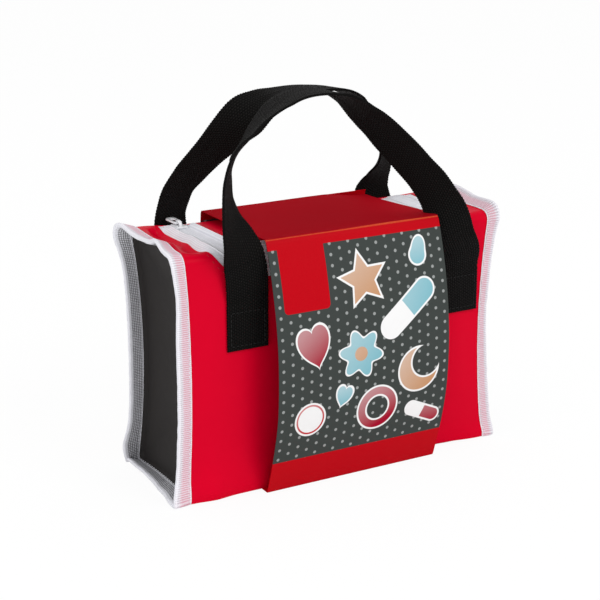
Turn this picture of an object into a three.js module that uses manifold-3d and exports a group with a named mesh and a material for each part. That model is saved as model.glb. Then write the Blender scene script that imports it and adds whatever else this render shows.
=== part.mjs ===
// Toy doctor case: a soft box of coated fabric with bound ends, a lid inside a U-shaped zip,
// two webbing handles and a printed card sleeve round the middle. Millimetres, +Z up,
// +X along the length to the right, +Y to the back. The origin is on the ground under the middle.
import * as THREE from 'three';
import { mergeVertices } from 'three/addons/utils/BufferGeometryUtils.js';
import Module from 'manifold-3d';

const wasm = await Module();
wasm.setup();

// Case, over the bindings
const caseLength = 248;
const caseDepth = 82;
const caseHeight = 165;
const seatGap = 0.3;            // between pieces that touch
const fabricThickness = 1.6;
const foldRadius = 7;           // the long edges of the red wrap, which has no seam there
const waistBow = 6;             // how far each end draws in at mid height
const ridgeBow = 2;             // how far each end draws in at mid depth
const gussetDish = 4;           // extra hollow in the middle of an end panel

// Binding folded over the seam round each end
const bindingWidth = 10.5;
const bindingThickness = 3.2;
const bindingProud = 1.5;       // how far it stands out of the wrap

// Stiffening boards behind the wrap
const boardThickness = 1.5;
const boardMargin = 4;

// Zip, a U in plan and round the top front fold
const zipInset = 38;            // from the case's end to the coil
const zipTapeWidth = 13;        // from the coil's middle to the tape's outer edge
const zipDrop = 10.4;           // from the start of the top front fold to the coil, along the wrap
const zipCornerRadius = 24;
const coilWidth = 2.55;         // one half of the coil
const coilGap = 0.5;            // between the two halves
const coilTop = 0.3;            // above the wrap's face
const coilDepth = 2.5;
const tapeSink = 0.7;           // how deep the tape lies in the wrap
const tapeThickness = 0.8;
const zipEndLength = 12;        // the stretch at each end that stays closed

// Slider and its pull
const sliderWidth = 9;
const sliderLength = 11;
const sliderPlate = 1.2;
const sliderClearance = 0.35;
const bridgeWidth = 2;
const bridgeHeight = 3.6;
const bridgeBar = 1.1;
const bridgeLength = 8;
const pullLength = 15;
const pullWidth = 7;
const pullThickness = 1.2;
const pullRail = 1.3;
const pullPlateLength = 6;

// Webbing handles
const webbingWidth = 29;
const webbingThickness = 1.6;
const footBottom = 95;          // height of the sewn foot's lower end
const frontFootTop = 139;       // where the front strap leaves the panel
const frontLegTop = 174;
const backFootTop = 173.5;
const backLegTop = 184;
const frontFootLeftInset = 52;  // insets run from the case's end to the strap's middle
const frontFootRightInset = 33;
const frontLegLeftInset = 46;
const frontLegRightInset = 36;
const backFootLeftInset = 44;
const backFootRightInset = 33;
const backLegLeftInset = 41;
const backLegRightInset = 49.5;
const backLegTopLeftInset = 44;
const backLegTopRightInset = 50.5;
const frontLegTopOut = 8.4;     // from the front face to the strap's middle at the leg's top
const backStrapOut = 7.5;       // from the back face to the strap's middle at the foot's top
const backLegTopOut = 6;
const backStrapRise = 124;      // height where the back strap starts to stand off the panel
const backStrapClear = 152;     // height where it passes outside the sleeve
const backStrapClearInset = 36.5;
const archHeight = 253.5;       // the front handle's top
const backArchHeight = 248;
const archOffset = 17;          // from the middle of the case to a handle's middle at the top

// Card sleeve
const sleeveLeftInset = 66;     // from the case's end to the card's edge
const sleeveRightInset = 52;
const cardThickness = 0.7;
const sleeveTopHeight = 168.5;
const sleeveFrontTopOut = 7;    // from the front face to the sleeve's outer face at the top crease
const sleeveFrontBottomOut = 10.5;
const sleeveFrontBulge = 11;
const sleeveBackTopOut = 4;
const sleeveBackBottomOut = 6;
const sleeveBackBulge = 3;

// Values that follow from the sizes above
const wrapFront = caseDepth / 2 - bindingProud;
const wrapTop = caseHeight - bindingProud;
const wrapBottom = bindingProud;
const wrapMiddle = (wrapTop + wrapBottom) / 2;
const wrapHalfHeight = (wrapTop - wrapBottom) / 2;
const foldArc = foldRadius * Math.PI / 2;
const faceLength = wrapTop - wrapBottom - 2 * foldRadius;
const endX = caseLength / 2;
const zipX = endX - zipInset;
const hingeY = wrapFront - foldRadius;
const frontFootLeftX = frontFootLeftInset - endX;
const frontFootRightX = endX - frontFootRightInset;
const frontLegLeftX = frontLegLeftInset - endX;
const frontLegRightX = endX - frontLegRightInset;
const backFootLeftX = backFootLeftInset - endX;
const backFootRightX = endX - backFootRightInset;
const backLegLeftX = backLegLeftInset - endX;
const backLegRightX = endX - backLegRightInset;
const backLegTopLeftX = backLegTopLeftInset - endX;
const backLegTopRightX = endX - backLegTopRightInset;
const backStrapClearX = endX - backStrapClearInset;
const sleeveLeftX = sleeveLeftInset - endX;
const sleeveRightX = endX - sleeveRightInset;

const colours = {
  red: { color: 0xd60024, roughness: 0.32, metalness: 0 },
  black: { color: 0x322f2e, roughness: 0.6, metalness: 0 },
  binding: { color: 0xebebf0, roughness: 0.85, metalness: 0 },
  board: { color: 0x9a8c74, roughness: 0.9, metalness: 0 },
  tape: { color: 0xe6e8f0, roughness: 0.8, metalness: 0 },
  coil: { color: 0xf2f2f4, roughness: 0.35, metalness: 0 },
  slider: { color: 0xf0f0f2, roughness: 0.25, metalness: 0.2 },
  webbing: { color: 0x12100f, roughness: 0.9, metalness: 0 },
  card: { color: 0xb00016, roughness: 0.4, metalness: 0 },
};

const part = new THREE.Group();

function addNode(name, geometry, colour, position = new THREE.Vector3()) {
  const mesh = new THREE.Mesh(geometry, new THREE.MeshStandardMaterial(colours[colour]));
  mesh.name = name;
  mesh.position.copy(position);
  part.add(mesh);
  return mesh;
}

// Signed volume of an indexed mesh, positive when its faces point out.
function signedVolume(points, faces) {
  let sum = 0;
  for (const [a, b, c] of faces) sum += points[a].dot(points[b].clone().cross(points[c]));
  return sum;
}

// A closed solid through equal cross-sections. Each section is a ring of points. The ends are
// capped unless the sections close on themselves. Opposite faces of a band are split along the
// same diagonal, so that it keeps its thickness where it twists.
function loft(sections, closed = false) {
  const ring = sections[0].length;
  const points = sections.flat();
  const faces = [];
  const spans = closed ? sections.length : sections.length - 1;
  for (let i = 0; i < spans; i++) {
    const here = i * ring;
    const next = ((i + 1) % sections.length) * ring;
    for (let j = 0; j < ring; j++) {
      const k = (j + 1) % ring;
      if (j < ring / 2) faces.push([here + j, next + j, next + k], [here + j, next + k, here + k]);
      else faces.push([here + j, next + j, here + k], [next + j, next + k, here + k]);
    }
  }
  if (!closed) {
    const last = (sections.length - 1) * ring;
    for (let j = 1; j + 1 < ring; j++) {
      faces.push([0, j, j + 1], [last, last + j + 1, last + j]);
    }
  }
  if (signedVolume(points, faces) < 0) faces.forEach((face) => face.reverse());
  const geometry = new THREE.BufferGeometry();
  geometry.setAttribute('position', new THREE.Float32BufferAttribute(
    points.flatMap((p) => [p.x, p.y, p.z]), 3));
  geometry.setIndex(faces.flat());
  return geometry;
}

// How far the ends draw in at depth y and height z.
function drawIn(y, z) {
  const heightShare = (z - wrapMiddle) / wrapHalfHeight;
  const depthShare = y / wrapFront;
  return waistBow * Math.max(0, 1 - heightShare ** 2) + ridgeBow * Math.max(0, 1 - depthShare ** 2);
}

// Half the wrap's length at depth y and height z, up to the bindings.
function wrapHalfLength(y, z) {
  return endX - bindingWidth - seatGap - drawIn(y, z);
}

// A point of the wrap: q runs along it from the start of the top front fold, forward and down,
// and is negative on the top. Offset is out of the face, and side is -1 for the front, 1 for the back.
function wrapPoint(q, offset, side = -1) {
  const foldY = wrapFront - foldRadius;
  const reach = foldRadius + offset;
  let y;
  let z;
  if (q < 0) {
    y = foldY + q;
    z = wrapTop + offset;
  } else if (q < foldArc) {
    y = foldY + reach * Math.sin(q / foldRadius);
    z = wrapTop - foldRadius + reach * Math.cos(q / foldRadius);
  } else if (q < foldArc + faceLength) {
    y = wrapFront + offset;
    z = wrapTop - foldRadius - (q - foldArc);
  } else {
    const angle = Math.min((q - foldArc - faceLength) / foldRadius, Math.PI / 2);
    y = foldY + reach * Math.cos(angle);
    z = wrapBottom + foldRadius - reach * Math.sin(angle);
  }
  return { y: side * y, z };
}

function steps(from, to, count) {
  return Array.from({ length: count + 1 }, (_, i) => from + (to - from) * i / count);
}

// A sheet that follows the wrap between two values of q. Its left and right edges are functions of q.
function wrapSheet(qs, leftEdge, rightEdge, low, high, side = -1) {
  return loft(qs.map((q) => [[leftEdge, low], [rightEdge, low], [rightEdge, high], [leftEdge, high]]
    .map(([edge, offset]) => {
      const { y, z } = wrapPoint(q, offset, side);
      return new THREE.Vector3(edge(q, y, z), y, z);
    })));
}

const wrapLeft = (q, y, z) => -wrapHalfLength(y, z);
const wrapRight = (q, y, z) => wrapHalfLength(y, z);
const foldSteps = 6;
const faceSteps = 10;

// Red wrap: front, bottom and back
const panelTopQ = zipDrop + zipTapeWidth + seatGap;
const panelBottomQ = foldArc + faceLength;
const bottomFold = steps(panelBottomQ, panelBottomQ + foldArc, foldSteps).slice(1);
addNode('front_panel', wrapSheet(
  [...steps(panelTopQ, panelBottomQ, faceSteps), ...bottomFold],
  wrapLeft, wrapRight, -fabricThickness, 0), 'red');
addNode('back_panel', wrapSheet(
  [...steps(0, foldArc, foldSteps), ...steps(foldArc, panelBottomQ, faceSteps).slice(1), ...bottomFold],
  wrapLeft, wrapRight, -fabricThickness, 0, 1), 'red');

const bottomHalfDepth = wrapFront - foldRadius - seatGap;
addNode('bottom_panel', loft(steps(-bottomHalfDepth, bottomHalfDepth, faceSteps).map((y) => {
  const half = wrapHalfLength(y, wrapBottom);
  return [[-half, 0], [half, 0], [half, fabricThickness], [-half, fabricThickness]]
    .map(([x, rise]) => new THREE.Vector3(x, y, wrapBottom + rise));
})), 'red');

// The zip's U in the wrap's own plane: x, q and the outward normal, from the left back end to the right
const zipBackQ = -(2 * hingeY);
const zipRunEndQ = zipBackQ + zipEndLength;
const cornerQ = zipDrop - zipCornerRadius;
const cornerX = zipX - zipCornerRadius;
const cornerSteps = 12;
const runSteps = 6;

function zipPath() {
  const path = [];
  for (const q of steps(zipRunEndQ, cornerQ, runSteps)) path.push([-zipX, q, -1, 0]);
  for (const angle of steps(Math.PI, Math.PI / 2, cornerSteps).slice(1)) {
    path.push([-cornerX + zipCornerRadius * Math.cos(angle), cornerQ + zipCornerRadius * Math.sin(angle),
      Math.cos(angle), Math.sin(angle)]);
  }
  for (const x of steps(-cornerX, cornerX, runSteps).slice(1)) path.push([x, zipDrop, 0, 1]);
  for (const angle of steps(Math.PI / 2, 0, cornerSteps).slice(1)) {
    path.push([cornerX + zipCornerRadius * Math.cos(angle), cornerQ + zipCornerRadius * Math.sin(angle),
      Math.cos(angle), Math.sin(angle)]);
  }
  for (const q of steps(cornerQ, zipRunEndQ, runSteps).slice(1)) path.push([zipX, q, 1, 0]);
  return path;
}

// A band along the zip between two offsets across it, and two heights on the wrap's face.
function zipBand(inner, outer, low, high) {
  return loft(zipPath().map(([x, q, nx, nq]) => (
    [[inner, low], [outer, low], [outer, high], [inner, high]].map(([across, offset]) => {
      const { y, z } = wrapPoint(q + nq * across, offset);
      return new THREE.Vector3(x + nx * across, y, z);
    }))));
}

const coilInner = coilGap / 2;
const coilOuter = coilInner + coilWidth;
const tapeInner = coilOuter + seatGap;
const coilLow = coilTop - coilDepth;
const tapeLow = -tapeSink - tapeThickness;
addNode('zip_tape_body', zipBand(tapeInner, zipTapeWidth, tapeLow, -tapeSink), 'tape');
addNode('zip_tape_lid', zipBand(-zipTapeWidth, -tapeInner, tapeLow, -tapeSink), 'tape');
addNode('zip_coil_body', zipBand(coilInner, coilOuter, coilLow, coilTop), 'coil');
addNode('zip_coil_lid', zipBand(-coilOuter, -coilInner, coilLow, coilTop), 'coil');

// Each end of the zip, where both tapes and the closed coil stay on the case
function zipEnd() {
  const half = zipTapeWidth;
  const outline = new THREE.Shape([
    [-half, tapeLow], [-coilOuter, tapeLow], [-coilOuter, coilLow], [coilOuter, coilLow],
    [coilOuter, tapeLow], [half, tapeLow], [half, -tapeSink], [coilOuter, -tapeSink],
    [coilOuter, coilTop], [-coilOuter, coilTop], [-coilOuter, -tapeSink], [-half, -tapeSink],
  ].map(([x, z]) => new THREE.Vector2(x, z)));
  const geometry = new THREE.ExtrudeGeometry(outline, { depth: zipEndLength - seatGap, bevelEnabled: false });
  geometry.rotateX(Math.PI / 2);
  return geometry;
}
addNode('zip_end_left', zipEnd(), 'tape', new THREE.Vector3(-zipX, hingeY - seatGap, wrapTop));
addNode('zip_end_right', zipEnd(), 'tape', new THREE.Vector3(zipX, hingeY - seatGap, wrapTop));

// Top strips between binding and zip, with an ear that runs down the front to the front panel
const earRadius = zipCornerRadius + zipTapeWidth + seatGap;
const earBottomQ = panelTopQ - seatGap;
function stripInnerEdge(q) {
  const past = q - cornerQ;
  if (past <= 0) return zipX + zipTapeWidth + seatGap;
  return cornerX + Math.sqrt(Math.max(0, earRadius ** 2 - Math.min(past, earRadius) ** 2));
}
const stripQs = [
  ...steps(zipBackQ + seatGap, cornerQ, runSteps),
  ...steps(0, 1, cornerSteps).slice(1).map((t) => (
    cornerQ + (earBottomQ - cornerQ) * Math.sin(t * Math.PI / 2))),
];
addNode('top_strip_left', wrapSheet(stripQs, wrapLeft, (q) => -stripInnerEdge(q), -fabricThickness, 0), 'red');
addNode('top_strip_right', wrapSheet(stripQs, (q) => stripInnerEdge(q), wrapRight, -fabricThickness, 0), 'red');

// Lid panel, inside the zip, with round front corners
const lidHalfLength = zipX - zipTapeWidth - seatGap;
const lidFrontQ = zipDrop - zipTapeWidth - seatGap;
const lidCornerRadius = zipCornerRadius - zipTapeWidth - seatGap;
const lidQs = [
  ...steps(0, Math.PI / 2, foldSteps).map((a) => lidFrontQ - lidCornerRadius * (1 - Math.cos(a))),
  ...steps(lidFrontQ - lidCornerRadius, zipBackQ + seatGap, faceSteps).slice(1),
];
function lidEdge(q) {
  const past = Math.max(0, q - (lidFrontQ - lidCornerRadius));
  return lidHalfLength - lidCornerRadius + Math.sqrt(Math.max(0, lidCornerRadius ** 2 - past ** 2));
}
addNode('lid_panel', wrapSheet(lidQs, (q) => -lidEdge(q), lidEdge, -fabricThickness, 0), 'red');

// Boards
function board(length, depth, height) {
  return new THREE.BoxGeometry(length, depth, height);
}
const boardLength = 2 * (wrapHalfLength(wrapFront, wrapMiddle) - boardMargin);
const boardDepthIn = fabricThickness + seatGap + boardThickness / 2;
const frontBoardTop = wrapPoint(panelTopQ, 0).z;
const boardBottom = wrapBottom + foldRadius;
const backBoardTop = wrapTop - foldRadius - boardMargin;
addNode('front_board', board(boardLength, boardThickness, frontBoardTop - boardBottom), 'board',
  new THREE.Vector3(0, -wrapFront + boardDepthIn, (frontBoardTop + boardBottom) / 2));
addNode('back_board', board(boardLength, boardThickness, backBoardTop - boardBottom), 'board',
  new THREE.Vector3(0, wrapFront - boardDepthIn, (backBoardTop + boardBottom) / 2));
addNode('bottom_board', board(boardLength, 2 * bottomHalfDepth, boardThickness), 'board',
  new THREE.Vector3(0, 0, wrapBottom + boardDepthIn));
const lidFrontY = wrapPoint(lidFrontQ, 0).y;
const lidBoardDepth = hingeY - lidFrontY - 2 * boardMargin;
addNode('lid_board', board(2 * (lidHalfLength - boardMargin), lidBoardDepth, boardThickness), 'board',
  new THREE.Vector3(0, (hingeY + lidFrontY) / 2, wrapTop - boardDepthIn));

// The outline of an end, as points and outward normals, shrunk by inset
const arcSteps = 5;
const edgeSteps = 8;
function endOutline(inset) {
  const radius = foldRadius - inset;
  const halfDepth = wrapFront - inset - radius;
  const halfHeight = wrapHalfHeight - inset - radius;
  const corners = [[1, 1], [-1, 1], [-1, -1], [1, -1]];
  const ring = [];
  corners.forEach(([sideY, sideZ], index) => {
    const start = index * Math.PI / 2;
    for (const angle of steps(start, start + Math.PI / 2, arcSteps)) {
      ring.push({
        y: sideY * halfDepth + radius * Math.cos(angle),
        z: wrapMiddle + sideZ * halfHeight + radius * Math.sin(angle),
        ny: Math.cos(angle),
        nz: Math.sin(angle),
      });
    }
    const [nextY, nextZ] = corners[(index + 1) % corners.length];
    const from = ring[ring.length - 1];
    const toY = nextY * halfDepth + radius * from.ny;
    const toZ = wrapMiddle + nextZ * halfHeight + radius * from.nz;
    for (const share of steps(0, 1, edgeSteps).slice(1, -1)) {
      ring.push({ y: from.y + (toY - from.y) * share, z: from.z + (toZ - from.z) * share, ny: from.ny, nz: from.nz });
    }
  });
  return ring;
}

function binding(side) {
  const low = bindingProud - bindingThickness;
  return loft(endOutline(0).map(({ y, z, ny, nz }) => {
    const outer = endX - drawIn(y, z);
    return [[outer, low], [outer - bindingWidth, low], [outer - bindingWidth, bindingProud], [outer, bindingProud]]
      .map(([x, offset]) => new THREE.Vector3(side * x, y + ny * offset, z + nz * offset));
  }), true);
}
addNode('binding_left', binding(-1), 'binding');
addNode('binding_right', binding(1), 'binding');

// End panel: a sheet that hollows towards its middle, behind the binding and inside the wrap
const gussetRings = 5;
function endPanel(side) {
  const outline = endOutline(fabricThickness + seatGap);
  const count = outline.length;
  const points = [];
  const faces = [];
  const place = (share, y, z) => {
    const centreY = y * share;
    const centreZ = wrapMiddle + (z - wrapMiddle) * share;
    const hollow = gussetDish * (1 - share ** 2);
    return new THREE.Vector3(wrapHalfLength(centreY, centreZ) - hollow,
      centreY, centreZ);
  };
  for (const back of [0, fabricThickness]) {
    for (const share of steps(1 / gussetRings, 1, gussetRings - 1)) {
      for (const { y, z } of outline) {
        const p = place(share, y, z);
        points.push(new THREE.Vector3(side * (p.x - back), p.y, p.z));
      }
    }
    const middle = place(0, 0, wrapMiddle);
    points.push(new THREE.Vector3(side * (middle.x - back), middle.y, middle.z));
  }
  const layer = gussetRings * count + 1;
  for (const [start, turn] of [[0, 1], [layer, -1]]) {
    const push = (a, b, c) => faces.push(turn > 0 ? [a, b, c] : [c, b, a]);
    for (let j = 0; j < count; j++) {
      const k = (j + 1) % count;
      push(start + layer - 1, start + j, start + k);
      for (let i = 0; i + 1 < gussetRings; i++) {
        const a = start + i * count;
        const b = a + count;
        push(a + j, b + j, b + k);
        push(a + j, b + k, a + k);
      }
    }
  }
  const rim = (gussetRings - 1) * count;
  for (let j = 0; j < count; j++) {
    const k = (j + 1) % count;
    faces.push([rim + j, layer + rim + j, layer + rim + k], [rim + j, layer + rim + k, rim + k]);
  }
  if (signedVolume(points, faces) < 0) faces.forEach((face) => face.reverse());
  const geometry = new THREE.BufferGeometry();
  geometry.setAttribute('position', new THREE.Float32BufferAttribute(
    points.flatMap((p) => [p.x, p.y, p.z]), 3));
  geometry.setIndex(faces.flat());
  return geometry;
}
addNode('end_panel_left', endPanel(-1), 'black');
addNode('end_panel_right', endPanel(1), 'black');

// Slider: a saddle over the closed coil with a bridge on top, and a plate under the coil
function toManifold(geometry) {
  const plain = geometry.clone();
  plain.deleteAttribute('normal');
  plain.deleteAttribute('uv');
  const merged = mergeVertices(plain);
  return new wasm.Manifold(new wasm.Mesh({
    numProp: 3,
    vertProperties: new Float32Array(merged.attributes.position.array),
    triVerts: new Uint32Array(merged.index.array),
  }));
}

function fromManifold(solid) {
  const mesh = solid.getMesh();
  const geometry = new THREE.BufferGeometry();
  geometry.setAttribute('position', new THREE.Float32BufferAttribute(mesh.vertProperties, 3));
  geometry.setIndex([...mesh.triVerts]);
  return geometry;
}

function box(length, depth, height, x, y, z) {
  return new THREE.BoxGeometry(length, depth, height).translate(x, y, z);
}

const saddleUnder = coilTop + sliderClearance;
const saddleTop = saddleUnder + sliderPlate;
const skirtLow = -tapeSink + seatGap;
const skirtWidth = (sliderWidth - 2 * (coilOuter + sliderClearance)) / 2;
const overlap = 0.2;
function slider() {
  const plate = box(sliderWidth, sliderLength, sliderPlate, 0, 0, saddleUnder + sliderPlate / 2);
  const skirtHeight = saddleUnder - skirtLow + overlap;
  const skirts = [-1, 1].map((side) => box(skirtWidth, sliderLength, skirtHeight,
    side * (sliderWidth - skirtWidth) / 2, 0, skirtLow + skirtHeight / 2));
  const postHeight = bridgeHeight - bridgeBar + 2 * overlap;
  const posts = [-1, 1].map((side) => box(bridgeWidth, bridgeBar, postHeight,
    0, side * (bridgeLength - bridgeBar) / 2, saddleTop - overlap + postHeight / 2));
  const bar = box(bridgeWidth, bridgeLength, bridgeBar, 0, 0, saddleTop + bridgeHeight - bridgeBar / 2);
  return fromManifold([...skirts, ...posts, bar].reduce(
    (solid, piece) => solid.add(toManifold(piece)), toManifold(plate)));
}
const sliderY = hingeY - sliderLength / 2;
const sliderPlace = new THREE.Vector3(-zipX, sliderY, wrapTop);
addNode('zip_slider', slider(), 'slider', sliderPlace);
addNode('zip_slider_wing', box(sliderWidth, sliderLength, sliderPlate, 0, 0,
  coilLow - sliderClearance - sliderPlate / 2), 'slider', sliderPlace);

// Pull: a frame whose end bar passes under the bridge, with a plate at its free end
const pullBarZ = saddleTop + (bridgeHeight - bridgeBar) / 2;
function pull() {
  const frame = new THREE.Shape();
  const half = pullWidth / 2;
  const start = -pullThickness / 2;
  frame.moveTo(-half, start).lineTo(half, start).lineTo(half, pullLength - half);
  frame.absarc(0, pullLength - half, half, 0, Math.PI, false);
  frame.lineTo(-half, start);
  const eye = new THREE.Path();
  const eyeHalf = half - pullRail;
  const eyeEnd = pullLength - pullPlateLength;
  eye.moveTo(-eyeHalf, pullThickness / 2).lineTo(-eyeHalf, eyeEnd);
  eye.lineTo(eyeHalf, eyeEnd).lineTo(eyeHalf, pullThickness / 2).lineTo(-eyeHalf, pullThickness / 2);
  frame.holes.push(eye);
  const geometry = new THREE.ExtrudeGeometry(frame, { depth: pullThickness, bevelEnabled: false, curveSegments: 10 });
  geometry.translate(0, 0, -pullThickness / 2);
  return geometry;
}
addNode('zip_pull', pull(), 'slider', new THREE.Vector3(-zipX, sliderY, wrapTop + pullBarZ));

// Webbing: a flat band swept along a route, each stop with its middle and its direction across.
// Its two ends are cut level, and it turns square to the route over a few stops.
const upright = new THREE.Vector3(0, 0, 1);
const levelStops = 5;
function webbing(stops) {
  const middles = stops.map((stop) => stop.middle);
  const last = middles.length - 1;
  return loft(stops.map(({ middle, across }, i) => {
    const before = middles[Math.max(0, i - 1)];
    const after = middles[Math.min(last, i + 1)];
    const route = after.clone().sub(before).normalize();
    const up = upright.clone().multiplyScalar(Math.sign(i < last / 2 ? middles[1].z - middles[0].z
      : middles[last].z - middles[last - 1].z));
    const along = up.lerp(route, Math.min(1, i / levelStops, (last - i) / levelStops)).normalize();
    const wide = across.clone().addScaledVector(along, -across.dot(along)).normalize();
    const thick = along.clone().cross(wide).normalize();
    return [[-1, -1], [1, -1], [1, 1], [-1, 1]].map(([w, t]) => middle.clone()
      .addScaledVector(wide, w * webbingWidth / 2).addScaledVector(thick, t * webbingThickness / 2));
  }));
}

function straightStrap(points) {
  return webbing(points.map(([x, y, z]) => ({
    middle: new THREE.Vector3(x, y, z), across: new THREE.Vector3(1, 0, 0),
  })));
}

const footOut = wrapFront + seatGap + webbingThickness / 2;
const frontLegBaseOut = footOut + webbingThickness + seatGap;
const frontLegOut = wrapFront + frontLegTopOut;
const bendGap = seatGap;
for (const [name, footX, legX] of [['left', frontFootLeftX, frontLegLeftX], ['right', frontFootRightX, frontLegRightX]]) {
  addNode(`front_foot_${name}`, straightStrap([
    [footX, -footOut, footBottom], [footX, -footOut, frontFootTop]]), 'webbing');
  addNode(`front_leg_${name}`, straightStrap([
    [footX, -frontLegBaseOut, frontFootTop + bendGap],
    [(footX + legX) / 2, -(frontLegBaseOut + frontLegOut) / 2, (frontFootTop + frontLegTop) / 2],
    [legX, -frontLegOut, frontLegTop - bendGap]]), 'webbing');
}

const backStrapY = wrapFront + backStrapOut;
const backLegTopY = wrapFront + backLegTopOut;
addNode('back_foot_left', straightStrap([
  [backFootLeftX, footOut, footBottom], [backFootLeftX, footOut, backStrapRise],
  [(backFootLeftX + backLegLeftX) / 2, (footOut + backStrapY) / 2, (backStrapRise + backStrapClear) / 2],
  [backLegLeftX, backStrapY, backStrapClear], [backLegLeftX, backStrapY, backFootTop - bendGap]]), 'webbing');
addNode('back_foot_right', straightStrap([
  [backFootRightX, footOut, footBottom], [backFootRightX, footOut, backStrapRise],
  [(backFootRightX + backStrapClearX) / 2, (footOut + backStrapY) / 2, (backStrapRise + backStrapClear) / 2],
  [backStrapClearX, backStrapY, backStrapClear], [backLegRightX, backStrapY, backFootTop - bendGap]]), 'webbing');
for (const [name, lowX, highX] of [
  ['left', backLegLeftX, backLegTopLeftX], ['right', backLegRightX, backLegTopRightX]]) {
  addNode(`back_leg_${name}`, straightStrap([
    [lowX, backStrapY, backFootTop + bendGap], [highX, backLegTopY, backLegTop - bendGap]]), 'webbing');
}

// A handle's arch, from stops given as shares of its span, lean and rise, with its twist in quarter turns
const archStepsPerStop = 3;
function arch({ leftX, rightX, baseY, baseZ, topY, topZ, shares }) {
  const stops = shares.map(([x, lean, rise, turn]) => ({
    middle: new THREE.Vector3(leftX + (rightX - leftX) * x, baseY + (topY - baseY) * lean,
      baseZ + (topZ - baseZ) * rise),
    turn,
  }));
  const curve = new THREE.CatmullRomCurve3(stops.map((stop) => stop.middle), false, 'centripetal');
  const turns = new THREE.CatmullRomCurve3(stops.map((stop) => new THREE.Vector3(stop.turn, 0, 0)), false, 'catmullrom');
  const inward = Math.sign(topY - baseY);
  const count = (stops.length - 1) * archStepsPerStop;
  return webbing(steps(0, 1, count).map((t) => {
    const angle = turns.getPoint(t).x * Math.PI / 2;
    return {
      middle: curve.getPoint(t),
      across: new THREE.Vector3(Math.cos(angle), inward * Math.sin(angle), 0),
    };
  }));
}

const frontArchShares = [
  [0, 0, 0, 0], [-0.021, 0.07, 0.147, 0.3], [-0.024, 0.22, 0.273, 0.5], [-0.003, 0.43, 0.462, 0.68],
  [0.066, 0.73, 0.7, 0.85], [0.169, 0.95, 0.874, 0.97], [0.277, 1, 0.975, 1], [0.422, 1, 1, 1],
  [0.56, 0.97, 0.918, 1.03], [0.669, 0.8, 0.717, 1.28], [0.753, 0.56, 0.512, 1.58],
  [0.831, 0.26, 0.327, 1.78], [0.922, 0.037, 0.151, 1.91], [1, 0, 0, 2],
];
const backArchShares = [
  [0, 0, 0, 0], [0.02, 0.16, 0.153, 0.3], [0.065, 0.44, 0.34, 0.55], [0.143, 0.72, 0.606, 0.8],
  [0.235, 0.95, 0.825, 0.95], [0.345, 1, 0.969, 1], [0.52, 1, 1, 1], [0.69, 1, 0.969, 1],
  [0.82, 0.91, 0.765, 1.15], [0.919, 0.68, 0.5, 1.45], [0.977, 0.37, 0.25, 1.7], [1, 0, 0, 2],
];
addNode('front_loop', arch({
  leftX: frontLegLeftX, rightX: frontLegRightX, baseY: -frontLegOut, baseZ: frontLegTop + bendGap,
  topY: -archOffset, topZ: archHeight, shares: frontArchShares,
}), 'webbing');
addNode('back_loop', arch({
  leftX: backLegTopLeftX, rightX: backLegTopRightX, baseY: backLegTopY, baseZ: backLegTop + bendGap,
  topY: archOffset, topZ: backArchHeight, shares: backArchShares,
}), 'webbing');

// Card sleeve: four panels with a crease between each two
const sleeveSteps = 14;
const sleeveMiddleX = (sleeveLeftX + sleeveRightX) / 2;
const sleeveLength = sleeveRightX - sleeveLeftX;
function sleeveSide(side, topOut, bottomOut, bulge) {
  const from = cardThickness + seatGap;
  return loft(steps(0, 1, sleeveSteps).map((share) => {
    const z = from + (sleeveTopHeight - from) * share;
    const outer = wrapFront + bottomOut + (topOut - bottomOut) * share + bulge * 4 * share * (1 - share);
    return [[sleeveLeftX, outer], [sleeveRightX, outer],
      [sleeveRightX, outer - cardThickness], [sleeveLeftX, outer - cardThickness]]
      .map(([x, y]) => new THREE.Vector3(x, side * y, z));
  }));
}
addNode('sleeve_front', sleeveSide(-1, sleeveFrontTopOut, sleeveFrontBottomOut, sleeveFrontBulge), 'card');
addNode('sleeve_back', sleeveSide(1, sleeveBackTopOut, sleeveBackBottomOut, sleeveBackBulge), 'card');
const sleeveBottomFrontY = -(wrapFront + sleeveFrontBottomOut);
const sleeveBottomBackY = wrapFront + sleeveBackBottomOut;
addNode('sleeve_bottom', board(sleeveLength, sleeveBottomBackY - sleeveBottomFrontY, cardThickness), 'card',
  new THREE.Vector3(sleeveMiddleX, (sleeveBottomBackY + sleeveBottomFrontY) / 2, cardThickness / 2));
const sleeveTopFrontY = -(wrapFront + sleeveFrontTopOut - cardThickness - seatGap);
const sleeveTopBackY = wrapFront + sleeveBackTopOut - cardThickness - seatGap;
addNode('sleeve_top', board(sleeveLength, sleeveTopBackY - sleeveTopFrontY, cardThickness), 'card',
  new THREE.Vector3(sleeveMiddleX, (sleeveTopBackY + sleeveTopFrontY) / 2, sleeveTopHeight - cardThickness / 2));

export default part;
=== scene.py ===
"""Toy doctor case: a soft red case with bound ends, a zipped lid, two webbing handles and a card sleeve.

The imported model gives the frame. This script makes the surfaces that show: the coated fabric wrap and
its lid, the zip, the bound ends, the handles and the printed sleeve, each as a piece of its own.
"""
from __future__ import annotations

import logging
import math
from dataclasses import dataclass, field
from enum import Enum, auto
from typing import Callable, Iterable, Optional, Sequence, Union

import bpy
import numpy as np
from mathutils import Matrix, Vector, noise

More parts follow.
